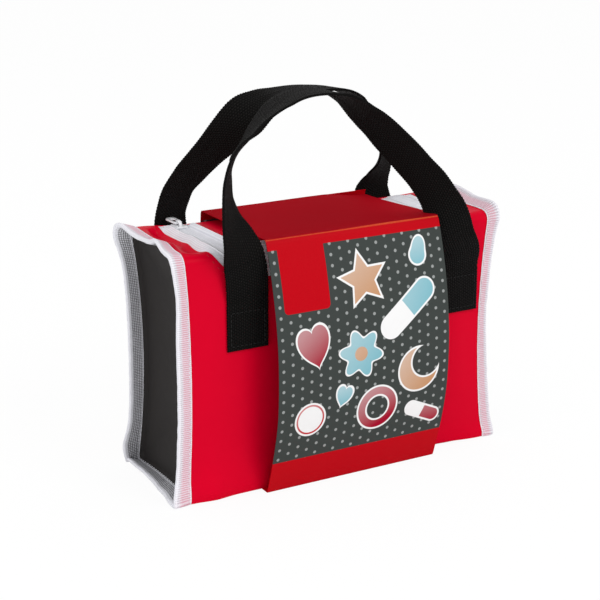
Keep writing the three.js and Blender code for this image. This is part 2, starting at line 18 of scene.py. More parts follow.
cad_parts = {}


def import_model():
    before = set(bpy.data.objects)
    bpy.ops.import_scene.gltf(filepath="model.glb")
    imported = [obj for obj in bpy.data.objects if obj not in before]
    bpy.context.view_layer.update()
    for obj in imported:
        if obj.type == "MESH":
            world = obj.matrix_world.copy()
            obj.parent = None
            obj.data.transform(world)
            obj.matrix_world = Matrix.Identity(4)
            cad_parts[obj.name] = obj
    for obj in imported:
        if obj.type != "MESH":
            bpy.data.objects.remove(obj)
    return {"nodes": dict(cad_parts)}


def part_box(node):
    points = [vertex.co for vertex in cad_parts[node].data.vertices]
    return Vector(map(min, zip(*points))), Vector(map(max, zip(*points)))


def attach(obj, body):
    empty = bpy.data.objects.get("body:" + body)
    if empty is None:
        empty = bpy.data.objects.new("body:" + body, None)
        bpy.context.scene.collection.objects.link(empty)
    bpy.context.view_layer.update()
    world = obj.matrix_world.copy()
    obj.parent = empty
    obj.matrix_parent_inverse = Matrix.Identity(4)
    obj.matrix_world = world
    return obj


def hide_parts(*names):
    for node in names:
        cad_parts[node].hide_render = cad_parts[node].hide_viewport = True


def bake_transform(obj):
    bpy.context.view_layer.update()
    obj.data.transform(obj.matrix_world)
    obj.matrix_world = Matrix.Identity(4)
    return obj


LOG = logging.getLogger("doctor_case")
MM = 0.001
TINY = 1e-6

Pair = tuple[float, float]
Triple = tuple[float, float, float]
Colour = Triple
Piece = bpy.types.Object
Finish = bpy.types.Material
Place = Callable[[float, float], Vector]
Depth = Callable[[float, float], float]
Number = Union[float, "Signal"]


def smooth(share: float) -> float:
    """Return a smooth step of a share, held between 0 and 1."""
    held = min(1.0, max(0.0, share))
    return held * held * (3 - 2 * held)


def hump(distance: float, width: float) -> float:
    """Return a rounded hump, 1 at the middle and near 0 past twice the width."""
    return math.exp(-((distance / width) ** 2))


def ripple(x: float, y: float, z: float, scale: float) -> float:
    """Return a steady random wave between -1 and 1, with a given number of waves to the metre."""
    return noise.noise(Vector((x * scale, y * scale, z * scale)))


class Side(Enum):
    """The two ends of the case, or the two feet of a handle."""

    LEFT = -1
    RIGHT = 1

    @property
    def word(self) -> str:
        """Return the side as it stands in a piece's name."""
        return self.name.lower()


class Tape(Enum):
    """The zip's two tapes, with the way that each lies from the zip's line."""

    OUTER = 1
    INNER = -1

    @property
    def word(self) -> str:
        """Return the tape as it stands in a piece's name."""
        return self.name.lower()


class Bench:
    """The modelling bench: Blender's operators, each on the pieces that are picked."""

    @staticmethod
    def pick(*pieces: Piece) -> None:
        """Select these pieces and no others, with the first one active."""
        bpy.ops.object.select_all(action="DESELECT")
        for piece in pieces:
            piece.select_set(True)
        bpy.context.view_layer.objects.active = pieces[0]

    @staticmethod
    def name(piece: Piece, name: str) -> Piece:
        """Name a piece and its mesh, and return the piece."""
        piece.name = name
        piece.data.name = name
        return piece

    @staticmethod
    def mark_faces(piece: Piece, wanted: Callable[[bpy.types.MeshPolygon], bool]) -> None:
        """Select the faces that are wanted, and nothing else, ready for edit mode."""
        mesh = piece.data
        mesh.vertices.foreach_set("select", [False] * len(mesh.vertices))
        mesh.edges.foreach_set("select", [False] * len(mesh.edges))
        mesh.polygons.foreach_set("select", [wanted(face) for face in mesh.polygons])

    @staticmethod
    def apply(piece: Piece, kind: str, **settings: object) -> None:
        """Add a modifier with its settings and apply it.

        Args:
            piece: the piece to change.
            kind: the modifier's type.
            settings: the modifier's own values by name.
        """
        Bench.pick(piece)
        modifier = piece.modifiers.new(kind.lower(), kind)
        for key, value in settings.items():
            setattr(modifier, key, value)
        bpy.ops.object.modifier_apply(modifier=modifier.name)

    @staticmethod
    def sheet(
        name: str,
        cells: tuple[int, int],
        size: Pair,
        place: Place,
        inside: Optional[Depth] = None,
    ) -> Piece:
        """Make a sheet from a grid whose points are placed one by one.

        Args:
            name: the piece's name.
            cells: the faces across and along.
            size: the flat width and length, which the UV map is laid out in.
            place: gives a point from its distances across and along the flat sheet.
            inside: how far a point of the flat sheet lies inside the cut outline, below 0 outside it.

        Returns:
            The new piece, with its UV map in metres.
        """
        bpy.ops.object.select_all(action="DESELECT")
        bpy.ops.mesh.primitive_grid_add(x_subdivisions=cells[0], y_subdivisions=cells[1], size=1)
        piece = Bench.name(bpy.context.active_object, name)
        if inside is not None:
            Bench.trim(piece, size, inside)
        mesh = piece.data
        flat = [((v.co.x + 0.5) * size[0], (v.co.y + 0.5) * size[1]) for v in mesh.vertices]
        corners = np.empty(len(mesh.loops), dtype=np.int32)
        mesh.loops.foreach_get("vertex_index", corners)
        mesh.uv_layers.active.data.foreach_set("uv", np.array(flat)[corners].ravel())
        for vertex, (across, along) in zip(mesh.vertices, flat):
            vertex.co = place(across, along)
        mesh.update()
        return piece

    @staticmethod
    def trim(piece: Piece, size: Pair, inside: Depth) -> None:
        """Cut a flat grid to an outline and draw its new edge onto the outline.

        Args:
            piece: the grid, still 1 by 1.
            size: the flat width and length.
            inside: how far a point lies inside the outline.
        """
        wide, long = size

        def depth(x: float, y: float) -> float:
            """Return the depth inside the outline at a point of the grid."""
            return inside((x + 0.5) * wide, (y + 0.5) * long)

        Bench.pick(piece)
        Bench.mark_faces(piece, lambda face: depth(face.center.x, face.center.y) < 0)
        bpy.ops.object.mode_set(mode="EDIT")
        bpy.ops.mesh.select_mode(type="FACE")
        bpy.ops.mesh.delete(type="FACE")
        bpy.ops.object.mode_set(mode="OBJECT")
        uses: dict[tuple[int, int], int] = {}
        for face in piece.data.polygons:
            for key in face.edge_keys:
                uses[key] = uses.get(key, 0) + 1
        rim = {index for key, count in uses.items() if count == 1 for index in key}
        step = 1e-4
        shallow = 0.1
        for index in rim:
            co = piece.data.vertices[index].co
            if max(abs(co.x), abs(co.y)) > 0.5 - step and depth(co.x, co.y) >= 0:
                continue
            slope_x = (depth(co.x + step, co.y) - depth(co.x - step, co.y)) / (2 * step * wide)
            slope_y = (depth(co.x, co.y + step) - depth(co.x, co.y - step)) / (2 * step * long)
            steepness = slope_x**2 + slope_y**2
            if steepness > shallow:
                shift = depth(co.x, co.y) / steepness
                co.x -= shift * slope_x / wide
                co.y -= shift * slope_y / long

    @staticmethod
    def thicken(piece: Piece, thickness: float, offset: float = 0, lined: bool = False) -> None:
        """Give a sheet its thickness.

        Args:
            piece: the sheet.
            thickness: how thick it gets.
            offset: -1 to grow inwards only, 0 for both ways.
            lined: whether the inner face takes the second material.
        """
        lining = 1 if lined else 0
        Bench.apply(piece, "SOLIDIFY", thickness=thickness, offset=offset, material_offset=lining)

    @staticmethod
    def merge(piece: Piece, turn_out: bool = False) -> None:
        """Merge a piece's doubled points, as where a ring closes or two parts meet.

        Args:
            piece: the piece.
            turn_out: whether every face of the piece, which is closed, is then turned outwards.
        """
        Bench.pick(piece)
        bpy.ops.object.mode_set(mode="EDIT")
        bpy.ops.mesh.select_all(action="SELECT")
        bpy.ops.mesh.remove_doubles(threshold=TINY)
        if turn_out:
            bpy.ops.mesh.normals_make_consistent(inside=False)
        bpy.ops.object.mode_set(mode="OBJECT")

    @staticmethod
    def soften(piece: Piece, degrees: float = 40) -> None:
        """Shade a piece smooth, with its corners past an angle kept sharp."""
        Bench.pick(piece)
        bpy.ops.object.shade_smooth_by_angle(angle=math.radians(degrees))

    @staticmethod
    def settle(piece: Piece) -> None:
        """Write a piece's place, turn and scale into its mesh."""
        Bench.pick(piece)
        bpy.ops.object.transform_apply(location=True, rotation=True, scale=True)

    @staticmethod
    def bead(length: float, width: float, height: float) -> Piece:
        """Model one small rounded bead, such as a stitch or a zip's tooth.

        Args:
            length: its size along X.
            width: its size along Y.
            height: its size along Z.

        Returns:
            The bead, at the origin.
        """
        bpy.ops.object.select_all(action="DESELECT")
        bpy.ops.mesh.primitive_uv_sphere_add(
            segments=8,
            ring_count=5,
            radius=0.5,
            rotation=(0, math.pi / 2, 0),
            scale=(height, width, length),
        )
        bead = bpy.context.active_object
        Bench.settle(bead)
        return bead

    @staticmethod
    def repeat(name: str, seed: Piece, places: Iterable[Matrix]) -> Piece:
        """Copy one small shape to many places, as one piece.

        Args:
            name: the piece's name.
            seed: the shape that is copied, removed afterwards.
            places: a matrix for each copy.

        Returns:
            The piece that holds all copies.
        """
        points = np.array([(*v.co, 1.0) for v in seed.data.vertices])
        faces = [tuple(face.vertices) for face in seed.data.polygons]
        all_points: list[np.ndarray] = []
        all_faces: list[tuple[int, ...]] = []
        for index, place in enumerate(places):
            all_points.append((points @ np.array(place).T)[:, :3])
            base = index * len(points)
            all_faces.extend(tuple(base + corner for corner in face) for face in faces)
        mesh = seed.data
        mesh.clear_geometry()
        mesh.from_pydata(np.concatenate(all_points).tolist(), [], all_faces)
        mesh.update()
        Bench.name(seed, name)
        Bench.pick(seed)
        bpy.ops.object.shade_smooth()
        return seed

    @staticmethod
    def dress(piece: Piece, slot: str, *finishes: Finish) -> None:
        """Give a piece its finishes."""
        piece.data.materials.clear()
        for finish in finishes:
            piece.data.materials.append(finish)


@dataclass(frozen=True)
class Signal:
    """A shader socket that Python's operators turn into Math nodes."""

    recipe: Recipe
    socket: bpy.types.NodeSocket

    def __add__(self, other: Number) -> Signal:
        """Return the sum."""
        return self.recipe.maths("ADD", self, other)

    def __radd__(self, other: Number) -> Signal:
        """Return the sum of a plain number and the value."""
        return self.recipe.maths("ADD", other, self)

    def __sub__(self, other: Number) -> Signal:
        """Return the difference."""
        return self.recipe.maths("SUBTRACT", self, other)

    def __rsub__(self, other: Number) -> Signal:
        """Return the difference of a plain number and the value."""
        return self.recipe.maths("SUBTRACT", other, self)

    def __mul__(self, other: Number) -> Signal:
        """Return the product."""
        return self.recipe.maths("MULTIPLY", self, other)

    def __rmul__(self, other: Number) -> Signal:
        """Return the product of a plain number and the value."""
        return self.recipe.maths("MULTIPLY", other, self)

    def __truediv__(self, other: Number) -> Signal:
        """Return the quotient."""
        return self.recipe.maths("DIVIDE", self, other)

    def __neg__(self) -> Signal:
        """Return the value with its sign turned."""
        return self.recipe.maths("MULTIPLY", self, -1.0)

    def size(self) -> Signal:
        """Return the value without its sign."""
        return self.recipe.maths("ABSOLUTE", self)

    def least(self, other: Number) -> Signal:
        """Return the smaller of two values."""
        return self.recipe.maths("MINIMUM", self, other)

    def most(self, other: Number) -> Signal:
        """Return the larger of two values."""
        return self.recipe.maths("MAXIMUM", self, other)

    def power(self, other: Number) -> Signal:
        """Return the value raised to a power."""
        return self.recipe.maths("POWER", self, other)

    def wave(self, length: float) -> Signal:
        """Return a sine wave of the value, from -1 to 1, with a given wavelength."""
        return self.recipe.maths("SINE", self * (2 * math.pi / length))

    def turn_of(self, pitch: float) -> Signal:
        """Return the share of the way through the present pitch, from 0 to 1."""
        return self.recipe.maths("FRACT", self / pitch)

    def held(self) -> Signal:
        """Return the value held between 0 and 1."""
        return self.most(0.0).least(1.0)

    def under(self, edge: Number, blur: float) -> Signal:
        """Return a mask that is 1 where the value is under an edge, with a soft border."""
        return ((edge - self) / blur + 0.5).held()


class Recipe:
    """The nodes of one material, or of the world, written as expressions."""

    def __init__(self, name: str, world: bool = False) -> None:
        """Start without any node.

        Args:
            name: the name of what is made.
            world: whether it is the world.
        """
        shelf = bpy.data.worlds if world else bpy.data.materials
        self.product = shelf.new(name)
        self.product.use_nodes = True
        self.tree = self.product.node_tree
        self.tree.nodes.clear()

    def node(
        self,
        kind: str,
        settings: Optional[dict[str, object]] = None,
        sockets: Optional[dict[Union[int, str], object]] = None,
    ) -> bpy.types.Node:
        """Add a node.

        Args:
            kind: the node's type.
            settings: its own values by name, which are set first.
            sockets: the value or link of each input, by name or number.

        Returns:
            The new node.
        """
        node = self.tree.nodes.new(kind)
        for key, value in (settings or {}).items():
            setattr(node, key, value)
        for key, value in (sockets or {}).items():
            if isinstance(value, Signal):
                self.tree.links.new(value.socket, node.inputs[key])
            else:
                node.inputs[key].default_value = value
        return node

    def out(self, node: bpy.types.Node, output: Union[int, str] = 0) -> Signal:
        """Wrap one of a node's outputs."""
        return Signal(self, node.outputs[output])

    def maths(self, operation: str, *values: Number) -> Signal:
        """Add a Math node for an operation on up to three values."""
        return self.out(self.node("ShaderNodeMath", {"operation": operation}, dict(enumerate(values))))

    def hypot(self, a: Number, b: Number) -> Signal:
        """Return the length of the vector (a, b)."""
        return self.maths("SQRT", a * a + b * b)

    def mix(self, share: Number, first: object, second: object) -> Signal:
        """Mix two colours.

        Args:
            share: how much of the second colour shows.
            first: a colour or a link.
            second: a colour or a link.

        Returns:
            The mixed colour.
        """
        sockets = {0: share, 6: self.rgba(first), 7: self.rgba(second)}
        return self.out(self.node("ShaderNodeMix", {"data_type": "RGBA"}, sockets), 2)

    @staticmethod
    def rgba(colour: object) -> object:
        """Return a colour with its alpha, or a link as it is."""
        return colour if isinstance(colour, Signal) else (*colour, 1.0)

    def uv(self) -> tuple[Signal, Signal]:
        """Return the piece's own flat coordinates, in metres across and along."""
        parts = self.node("ShaderNodeSeparateXYZ", sockets={0: self.out(self.node("ShaderNodeUVMap"))})
        return self.out(parts, 0), self.out(parts, 1)

    def place(self) -> Signal:
        """Return the piece's object coordinates."""
        return self.out(self.node("ShaderNodeTexCoord"), "Object")

    def flat_place(self) -> Signal:
        """Return the piece's flat coordinates as one vector, for a noise on a piece that bends."""
        return self.out(self.node("ShaderNodeUVMap"))

    def grain(self, where: Signal, scale: float, detail: float = 2.0, rough: float = 0.5) -> Signal:
        """Return a noise from 0 to 1.

        Args:
            where: the coordinates that it is read at.
            scale: its waves to the metre.
            detail: how many finer layers it has.
            rough: how strong the finer layers are.

        Returns:
            The noise.
        """
        sockets = {"Vector": where, "Scale": scale, "Detail": detail, "Roughness": rough}
        return self.out(self.node("ShaderNodeTexNoise", sockets=sockets))

    def bump(self, height: Signal, depth: float) -> Signal:
        """Return a normal that shows a height field of a given depth."""
        sockets = {"Height": height, "Distance": depth, "Strength": 1.0}
        return self.out(self.node("ShaderNodeBump", sockets=sockets))

    def surface(self, **sockets: object) -> Finish:
        """Finish the material with a Principled shader.

        Args:
            sockets: its inputs, with underscores for the spaces in their names.

        Returns:
            The material.
        """
        named = {key.replace("_", " "): value for key, value in sockets.items()}
        if "Base Color" in named:
            named["Base Color"] = self.rgba(named["Base Color"])
        shader = self.out(self.node("ShaderNodeBsdfPrincipled", sockets=named))
        self.node("ShaderNodeOutputMaterial", sockets={0: shader})
        return self.product


@dataclass(frozen=True)
class CoatedFabric:
    """Fabric with a smooth plastic coat."""

    name: str
    colour: Colour
    shade: Colour
    roughness: float
    sheen_spread: float
    specular: float
    ripple_depth: float
    ripple_scale: float = 38
    cloud_scale: float = 14
    scuff_scale: float = 160
    pebble_scale: float = 900
    pebble_depth: float = 0.03 * MM

    def make(self) -> Finish:
        """Build the finish.

        Returns:
            The material.
        """
        recipe = Recipe(self.name)
        where = recipe.place()
        cloud = recipe.grain(where, self.cloud_scale, detail=3)
        pebble = recipe.grain(where, self.pebble_scale)
        scuffs = recipe.grain(where, self.scuff_scale, detail=4, rough=0.7)
        colour = recipe.mix((cloud - 0.35).held(), self.colour, self.shade)
        ripples = recipe.grain(where, self.ripple_scale)
        height = ripples * self.ripple_depth + pebble * self.pebble_depth
        return recipe.surface(
            Base_Color=colour,
            Roughness=(self.roughness + (scuffs - 0.5) * self.sheen_spread).held(),
            Specular_IOR_Level=self.specular,
            Normal=recipe.bump(height, 1.0),
        )


@dataclass(frozen=True)
class FabricBack:
    """The woven back of the coated fabric, which shows inside the case."""

    name: str = "fabric_back"
    colour: Colour = (0.26, 0.012, 0.02)
    shade: Colour = (0.13, 0.006, 0.012)
    pitch: float = 0.9 * MM
    relief: float = 0.1 * MM

    def make(self) -> Finish:
        """Build the finish.

        Returns:
            The material.
        """
        recipe = Recipe(self.name)
        across, along = recipe.uv()
        weave = across.wave(self.pitch) * along.wave(self.pitch)
        colour = recipe.mix(weave * 0.5 + 0.5, self.shade, self.colour)
        return recipe.surface(Base_Color=colour, Roughness=0.85, Normal=recipe.bump(weave, self.relief))


@dataclass(frozen=True)
class BindingTape:
    """Ribbed white binding, with painted shade in the grooves between its ribs, where the fabric under it
    also shows faintly.
    """

    name: str = "ribbed_binding"
    white: Colour = (0.82, 0.81, 0.86)
    # groove: painted shade between the ribs on the white part.
    groove_shade: Colour = (0.54, 0.48, 0.54)
    over_red: Colour = (0.76, 0.54, 0.61)
    # red_groove_shade: the red showing through the sheer part, with painted shade between the ribs.
    red_groove_shade: Colour = (0.66, 0.28, 0.36)
    inner_white: Colour = (0.76, 0.76, 0.81)
    over_black: Colour = (0.035, 0.033, 0.036)
    rib_pitch: float = 1.35 * MM
    thread_pitch: float = 0.62 * MM
    mesh_pitch: float = 2.3 * MM
    selvedge: float = 1.3 * MM
    edge_blur: float = 0.5 * MM
    leg: float = 10.5 * MM
    sheer_width: float = 7.2 * MM
    relief: float = 0.22 * MM

    def make(self) -> Finish:
        """Build the finish.

        Returns:
            The material.
        """
        recipe = Recipe(self.name)
        across, along = recipe.uv()
        patchy = recipe.grain(recipe.flat_place(), 120, detail=3, rough=0.6)
        outer_leg = across.under(self.leg, 0.4 * MM)
        from_fold = (across - self.leg).size()
        at_fold = from_fold.under(self.selvedge, self.edge_blur)
        edge = at_fold.most((self.leg - from_fold).under(self.selvedge * 0.8, self.edge_blur))
        ribs = along.wave(self.rib_pitch) * 0.5 + 0.5
        threads = across.wave(self.thread_pitch) * 0.5 + 0.5
        # Painted shade: the gaps between the ribs are painted darker, grey on the white part and a deeper
        # pink where the red under the sheer part shows through.
        rib_gap_shade = (1.0 - ribs).power(1.5) * (0.6 + patchy * 0.6)
        slant = (across + along).wave(self.mesh_pitch) * (across - along).wave(self.mesh_pitch)
        hole = (slant * 2.2 + 0.75).held() * (0.7 + patchy * 0.45)
        sheer = across.under(self.sheer_width, 2.0 * MM) * (1.0 - edge)
        rim = from_fold.under(self.selvedge * 2.6, 1.2 * MM)
        show_black = (hole * (1.0 - edge) * (1.0 - rim)).held()
        ground = recipe.mix(sheer * 0.6, self.white, self.over_red)
        groove_shade_colour = recipe.mix(sheer, self.groove_shade, self.red_groove_shade)
        outer = recipe.mix((rib_gap_shade * (1.0 - edge * 0.6)).held(), ground, groove_shade_colour)
        inner = recipe.mix(show_black * 0.85, self.inner_white, self.over_black)
        height = (ribs * (1.0 - edge) + threads * 0.4) * outer_leg + (1.0 - hole) * (1.0 - outer_leg)
        return recipe.surface(
            Base_Color=recipe.mix(outer_leg, inner, outer),
            Roughness=0.82,
            Normal=recipe.bump(height, self.relief),
        )


@dataclass(frozen=True)
class ZipTape:
    """Woven zip tape with fine ribs along it, and painted shade in the grooves between them."""

    name: str = "zip_tape_weave"
    white: Colour = (0.90, 0.90, 0.94)
    # groove: painted shade in the gaps between the ribs.
    groove_shade: Colour = (0.62, 0.62, 0.68)
    rib_pitch: float = 0.85 * MM
    pick_pitch: float = 0.7 * MM
    relief: float = 0.12 * MM

    def make(self) -> Finish:
        """Build the finish.

        Returns:
            The material.
        """
        recipe = Recipe(self.name)
        across, along = recipe.uv()
        ribs = across.wave(self.rib_pitch) * 0.5 + 0.5
        picks = (along + across * 0.5).wave(self.pick_pitch) * 0.5 + 0.5
        worn = recipe.grain(recipe.flat_place(), 90, detail=3, rough=0.6)
        # Painted shade: the grooves between the ribs and picks are painted grey, with random wear mixed in.
        colour = recipe.mix((ribs * 0.5 + picks * 0.3 + worn * 0.3).held(), self.groove_shade, self.white)
        return recipe.surface(
            Base_Color=colour, Roughness=0.8, Normal=recipe.bump(ribs + picks * 0.5, self.relief)
        )


@dataclass(frozen=True)
class PlainFinish:
    """A moulded, lacquered or spun finish with small flaws: a coil, a slider or thread."""

    name: str
    colour: Colour
    shade: Colour
    roughness: float
    metallic: float = 0.0
    grain_scale: float = 600
    relief: float = 0.02 * MM

    def make(self) -> Finish:
        """Build the finish.

        Returns:
            The material.
        """
        recipe = Recipe(self.name)
        flaws = recipe.grain(recipe.place(), self.grain_scale, detail=3, rough=0.6)
        return recipe.surface(
            Base_Color=recipe.mix(flaws, self.colour, self.shade),
            Roughness=(self.roughness + (flaws - 0.5) * 0.2).held(),
            Metallic=self.metallic,
            Normal=recipe.bump(flaws, self.relief),
        )


@dataclass(frozen=True)
class Webbing:
    """Coarse black webbing: staggered thick yarns, with a painted highlight on the crown of each."""

    name: str = "coarse_webbing"
    black: Colour = (0.0028, 0.0025, 0.0024)
    yarn_highlight: Colour = (0.019, 0.0175, 0.016)
    yarn: float = 1.6 * MM
    pick: float = 2.0 * MM
    relief: float = 0.6 * MM
    specular: float = 0.07

    def make(self) -> Finish:
        """Build the finish.

        Returns:
            The material.
        """
        recipe = Recipe(self.name)
        across, along = recipe.uv()
        fuzz = recipe.grain(recipe.flat_place(), 500, detail=4, rough=0.7)
        column = recipe.maths("FLOOR", across / self.yarn)
        odd = recipe.maths("PINGPONG", column, 1.0)
        crown = (across.turn_of(self.yarn) - 0.5).size() * 2.0
        along_yarn = ((along + odd * (self.pick / 2)).turn_of(self.pick) - 0.5).size() * 2.0
        yarns = (1.0 - crown * crown) * (1.0 - along_yarn * along_yarn)
        # Painted highlight: the crown of each yarn is painted lighter, broken up by the fuzz.
        light = (yarns.power(2.5) * (fuzz * 1.6 - 0.3)).held()
        return recipe.surface(
            Base_Color=recipe.mix(light, self.black, self.yarn_highlight),
            Roughness=(0.62 + fuzz * 0.3).held(),
            Normal=recipe.bump(yarns + fuzz * 0.2, self.relief),
            Specular_IOR_Level=self.specular,
        )


@dataclass(frozen=True)
class GreyBoard:
    """Pressed grey board, with fibres and specks."""

    name: str = "pressed_board"
    colour: Colour = (0.33, 0.27, 0.18)
    speck: Colour = (0.17, 0.14, 0.10)
    relief: float = 0.1 * MM

    def make(self) -> Finish:
        """Build the finish.

        Returns:
            The material.
        """
        recipe = Recipe(self.name)
        fibres = recipe.grain(recipe.place(), 420, detail=6, rough=0.75)
        return recipe.surface(
            Base_Color=recipe.mix((fibres - 0.45).held(), self.colour, self.speck),
            Roughness=0.9,
            Normal=recipe.bump(fibres, self.relief),
        )


class Motif(Enum):
    """The plain figures of the sleeve's print."""

    DISC = auto()
    HEART = auto()
    STAR = auto()
    CAPSULE = auto()
    DROP = auto()
    CRESCENT = auto()
    RING = auto()
    FLOWER = auto()


WHITE_INK: Colour = (0.80, 0.80, 0.80)
GREY_INK: Colour = (0.046, 0.053, 0.050)
DOT_INK: Colour = (0.29, 0.305, 0.30)
RED_INK: Colour = (0.46, 0.0, 0.006)
# Painted shade: the top card's red is darker than the front's because the top face gets less light.
SHADED_TOP_RED_INK: Colour = (0.36, 0.003, 0.010)
WINE_INK: Colour = (0.33, 0.003, 0.022)
TEAL_INK: Colour = (0.19, 0.43, 0.50)
TAN_INK: Colour = (0.50, 0.26, 0.13)
WORN_INK: Colour = (0.56, 0.02, 0.02)
# Painted highlight: the orange line along the top crease of the front card.
CREASE_HIGHLIGHT_INK: Colour = (0.56, 0.075, 0.025)
STAR_POINTS = 5
PETALS = 6


@dataclass(frozen=True)
class Figure:
    """One figure of the print, with its middle measured from the card's lower left corner."""

    motif: Motif
    across: float
    up: float
    size: float
    turn: float
    ink: Colour
    second: Colour = WHITE_INK

    def depth(self, recipe: Recipe, a: Signal, b: Signal) -> Signal:
        """Return the distance outside the figure's outline at (a, b) from its middle.

        Args:
            recipe: the material that the figure is drawn in.
            a: the distance along the figure's own width.
            b: the distance along its own height.

        Returns:
            The distance in metres, below 0 inside.
        """
        far = recipe.hypot(a, b)
        if self.motif is Motif.CAPSULE:
            return recipe.hypot((a.size() - self.size).most(0.0), b) - self.size * 0.42
        if self.motif is Motif.HEART:
            lobe = recipe.maths("SQRT", a.size() * self.size) * 0.72
            return recipe.hypot(a * 1.05, b - lobe + self.size * 0.1) - self.size
        if self.motif is Motif.RING:
            return (far - self.size).size() - self.size * 0.22
        if self.motif is Motif.CRESCENT:
            bite = recipe.hypot(a - self.size * 0.5, b - self.size * 0.15) - self.size * 0.82
            return (far - self.size).most(-bite)
        if self.motif is Motif.DISC:
            return far - self.size
        angle = recipe.maths("ARCTAN2", a, b)
        if self.motif is Motif.FLOWER:
            return far - self.size * (0.82 + 0.18 * recipe.maths("COSINE", angle * PETALS))
        if self.motif is Motif.DROP:
            tip = (b / far.most(TINY)).most(0.0).power(5.0)
            return far - self.size * (0.72 + 0.75 * tip)
        wedge = 2 * math.pi / STAR_POINTS
        fold = recipe.maths("PINGPONG", angle + 2 * math.pi, wedge / 2)
        inner = self.size * 0.48
        edge = Vector((self.size - inner * math.cos(wedge / 2), inner * math.sin(wedge / 2))).normalized()
        forward = far * recipe.maths("COSINE", fold) - self.size
        aside = far * recipe.maths("SINE", fold)
        return forward * edge.y + aside * edge.x


@dataclass(frozen=True)
class CardPrint:
    """The sleeve's print: a dotted field between two plain bands, with figures on it, and a painted
    highlight along the top crease where one is asked for.
    """

    name: str
    height: float
    bands: Pair
    figures: tuple[Figure, ...] = ()
    band_ink: Colour = RED_INK
    dotted: bool = True
    tab: Triple = (0.0, 0.0, 0.0)
    roughness: float = 0.45
    specular: float = 0.04
    crease_highlight: float = 0.0
    dot_pitch: float = 6.85 * MM
    dot_radius: float = 1.05 * MM
    outline: float = 1.3 * MM
    disc_rim: float = 1.2 * MM
    tab_corner: float = 3 * MM
    blur: float = 0.25 * MM
    relief: float = 0.4 * MM

    def make(self) -> Finish:
        """Build the finish.

        Returns:
            The material.
        """
        recipe = Recipe(self.name)
        across, up = recipe.uv()
        worn = recipe.grain(recipe.flat_place(), 700, detail=4, rough=0.6)
        dents = recipe.grain(recipe.flat_place(), 60)
        colour = recipe.mix((worn - 0.3).held() * 0.25, self.band_ink, WORN_INK)
        if self.dotted:
            colour = self.field(recipe, across, up, colour)
        for figure in self.figures:
            colour = self.figure(recipe, across, up, colour, figure)
        # Painted highlight along the top crease, broken up by the wear noise.
        if self.crease_highlight:
            fold = (1.0 - up.under(self.height - self.crease_highlight, self.crease_highlight / 2)) * (worn + 0.35)
            colour = recipe.mix(fold.held(), colour, CREASE_HIGHLIGHT_INK)
        return recipe.surface(
            Base_Color=colour,
            Roughness=(self.roughness + (worn - 0.5) * 0.15).held(),
            Specular_IOR_Level=self.specular,
            Normal=recipe.bump(dents + worn * 0.02, self.relief),
        )

    def field(self, recipe: Recipe, across: Signal, up: Signal, band: Signal) -> Signal:
        """Draw the dark dotted field, with its bare tab, between the bands.

        Args:
            recipe: the material.
            across: the distance from the card's left edge.
            up: the distance from its lower edge.
            band: the bands' colour.

        Returns:
            The colour with the field on it.
        """
        column = recipe.maths("FLOOR", across / self.dot_pitch)
        odd = recipe.maths("PINGPONG", column, 1.0)
        from_column = (across.turn_of(self.dot_pitch) - 0.5) * self.dot_pitch
        shifted = up + odd * (self.dot_pitch / 2)
        from_row = (shifted.turn_of(self.dot_pitch) - 0.5) * self.dot_pitch
        dots = recipe.hypot(from_column, from_row).under(self.dot_radius, self.blur)
        grey = recipe.mix(dots, GREY_INK, DOT_INK)
        low, high = self.bands
        field = up.under(high, self.blur) * (1.0 - up.under(low, self.blur))
        left, right, foot = self.tab
        if right > left:
            radius = self.tab_corner
            half = (right - left) / 2
            beside = (across - (left + half)).size() - (half - radius)
            below = foot + radius - up
            edge = recipe.hypot(beside.most(0.0), below.most(0.0)) - radius
            field = field * (1.0 - edge.under(0.0, self.blur))
        return recipe.mix(field, band, grey)

    def figure(self, recipe: Recipe, across: Signal, up: Signal, under: Signal, figure: Figure) -> Signal:
        """Draw one figure with its white outline.

        Args:
            recipe: the material.
            across: the distance from the card's left edge.
            up: the distance from its lower edge.
            under: the colour that it is drawn on.
            figure: what is drawn, and where.

        Returns:
            The colour with the figure on it.
        """
        along = across - figure.across
        over = up - figure.up
        cosine = math.cos(math.radians(figure.turn))
        sine = math.sin(math.radians(figure.turn))
        a = along * cosine + over * sine
        b = over * cosine - along * sine
        outside = figure.depth(recipe, a, b)
        ink: Union[Colour, Signal] = figure.ink
        if figure.motif is Motif.CAPSULE:
            ink = recipe.mix(a.under(0.0, self.blur), figure.ink, figure.second)
        elif figure.motif is Motif.FLOWER:
            heart = recipe.hypot(a, b).under(figure.size * 0.3, self.blur)
            ink = recipe.mix(heart, figure.ink, figure.second)
        elif figure.motif is Motif.DISC:
            ink = recipe.mix(outside.under(-self.disc_rim, self.blur), figure.ink, figure.second)
        lit = ((b + a * -0.5) / (figure.size * 2.4) + 0.45).held()
        shaded = recipe.mix(lit * 0.3, ink, WHITE_INK)
        rimmed = recipe.mix(outside.under(self.outline, self.blur), under, WHITE_INK)
        return recipe.mix(outside.under(0.0, self.blur), rimmed, shaded)


@dataclass(frozen=True)
class CardBack:
    """The unprinted inside of the card."""

    name: str = "unprinted_card"
    colour: Colour = (0.42, 0.36, 0.35)
    shade: Colour = (0.30, 0.24, 0.23)
    relief: float = 0.05 * MM

    def make(self) -> Finish:
        """Build the finish.

        Returns:
            The material.
        """
        recipe = Recipe(self.name)
        fibres = recipe.grain(recipe.flat_place(), 500, detail=5, rough=0.7)
        return recipe.surface(
            Base_Color=recipe.mix(fibres, self.colour, self.shade),
            Roughness=0.85,
            Normal=recipe.bump(fibres, self.relief),
        )


@dataclass(frozen=True)
class Swell:
    """A soft wave of a flange or a face: where its middle is, how wide it is and how far it goes."""

    middle: float
    width: float
    height: float

    @classmethod
    def row(cls, *waves: Triple) -> tuple[Swell, ...]:
        """Return waves from their middles in metres, and their widths and heights in millimetres."""
        return tuple(cls(middle, width * MM, height * MM) for middle, width, height in waves)


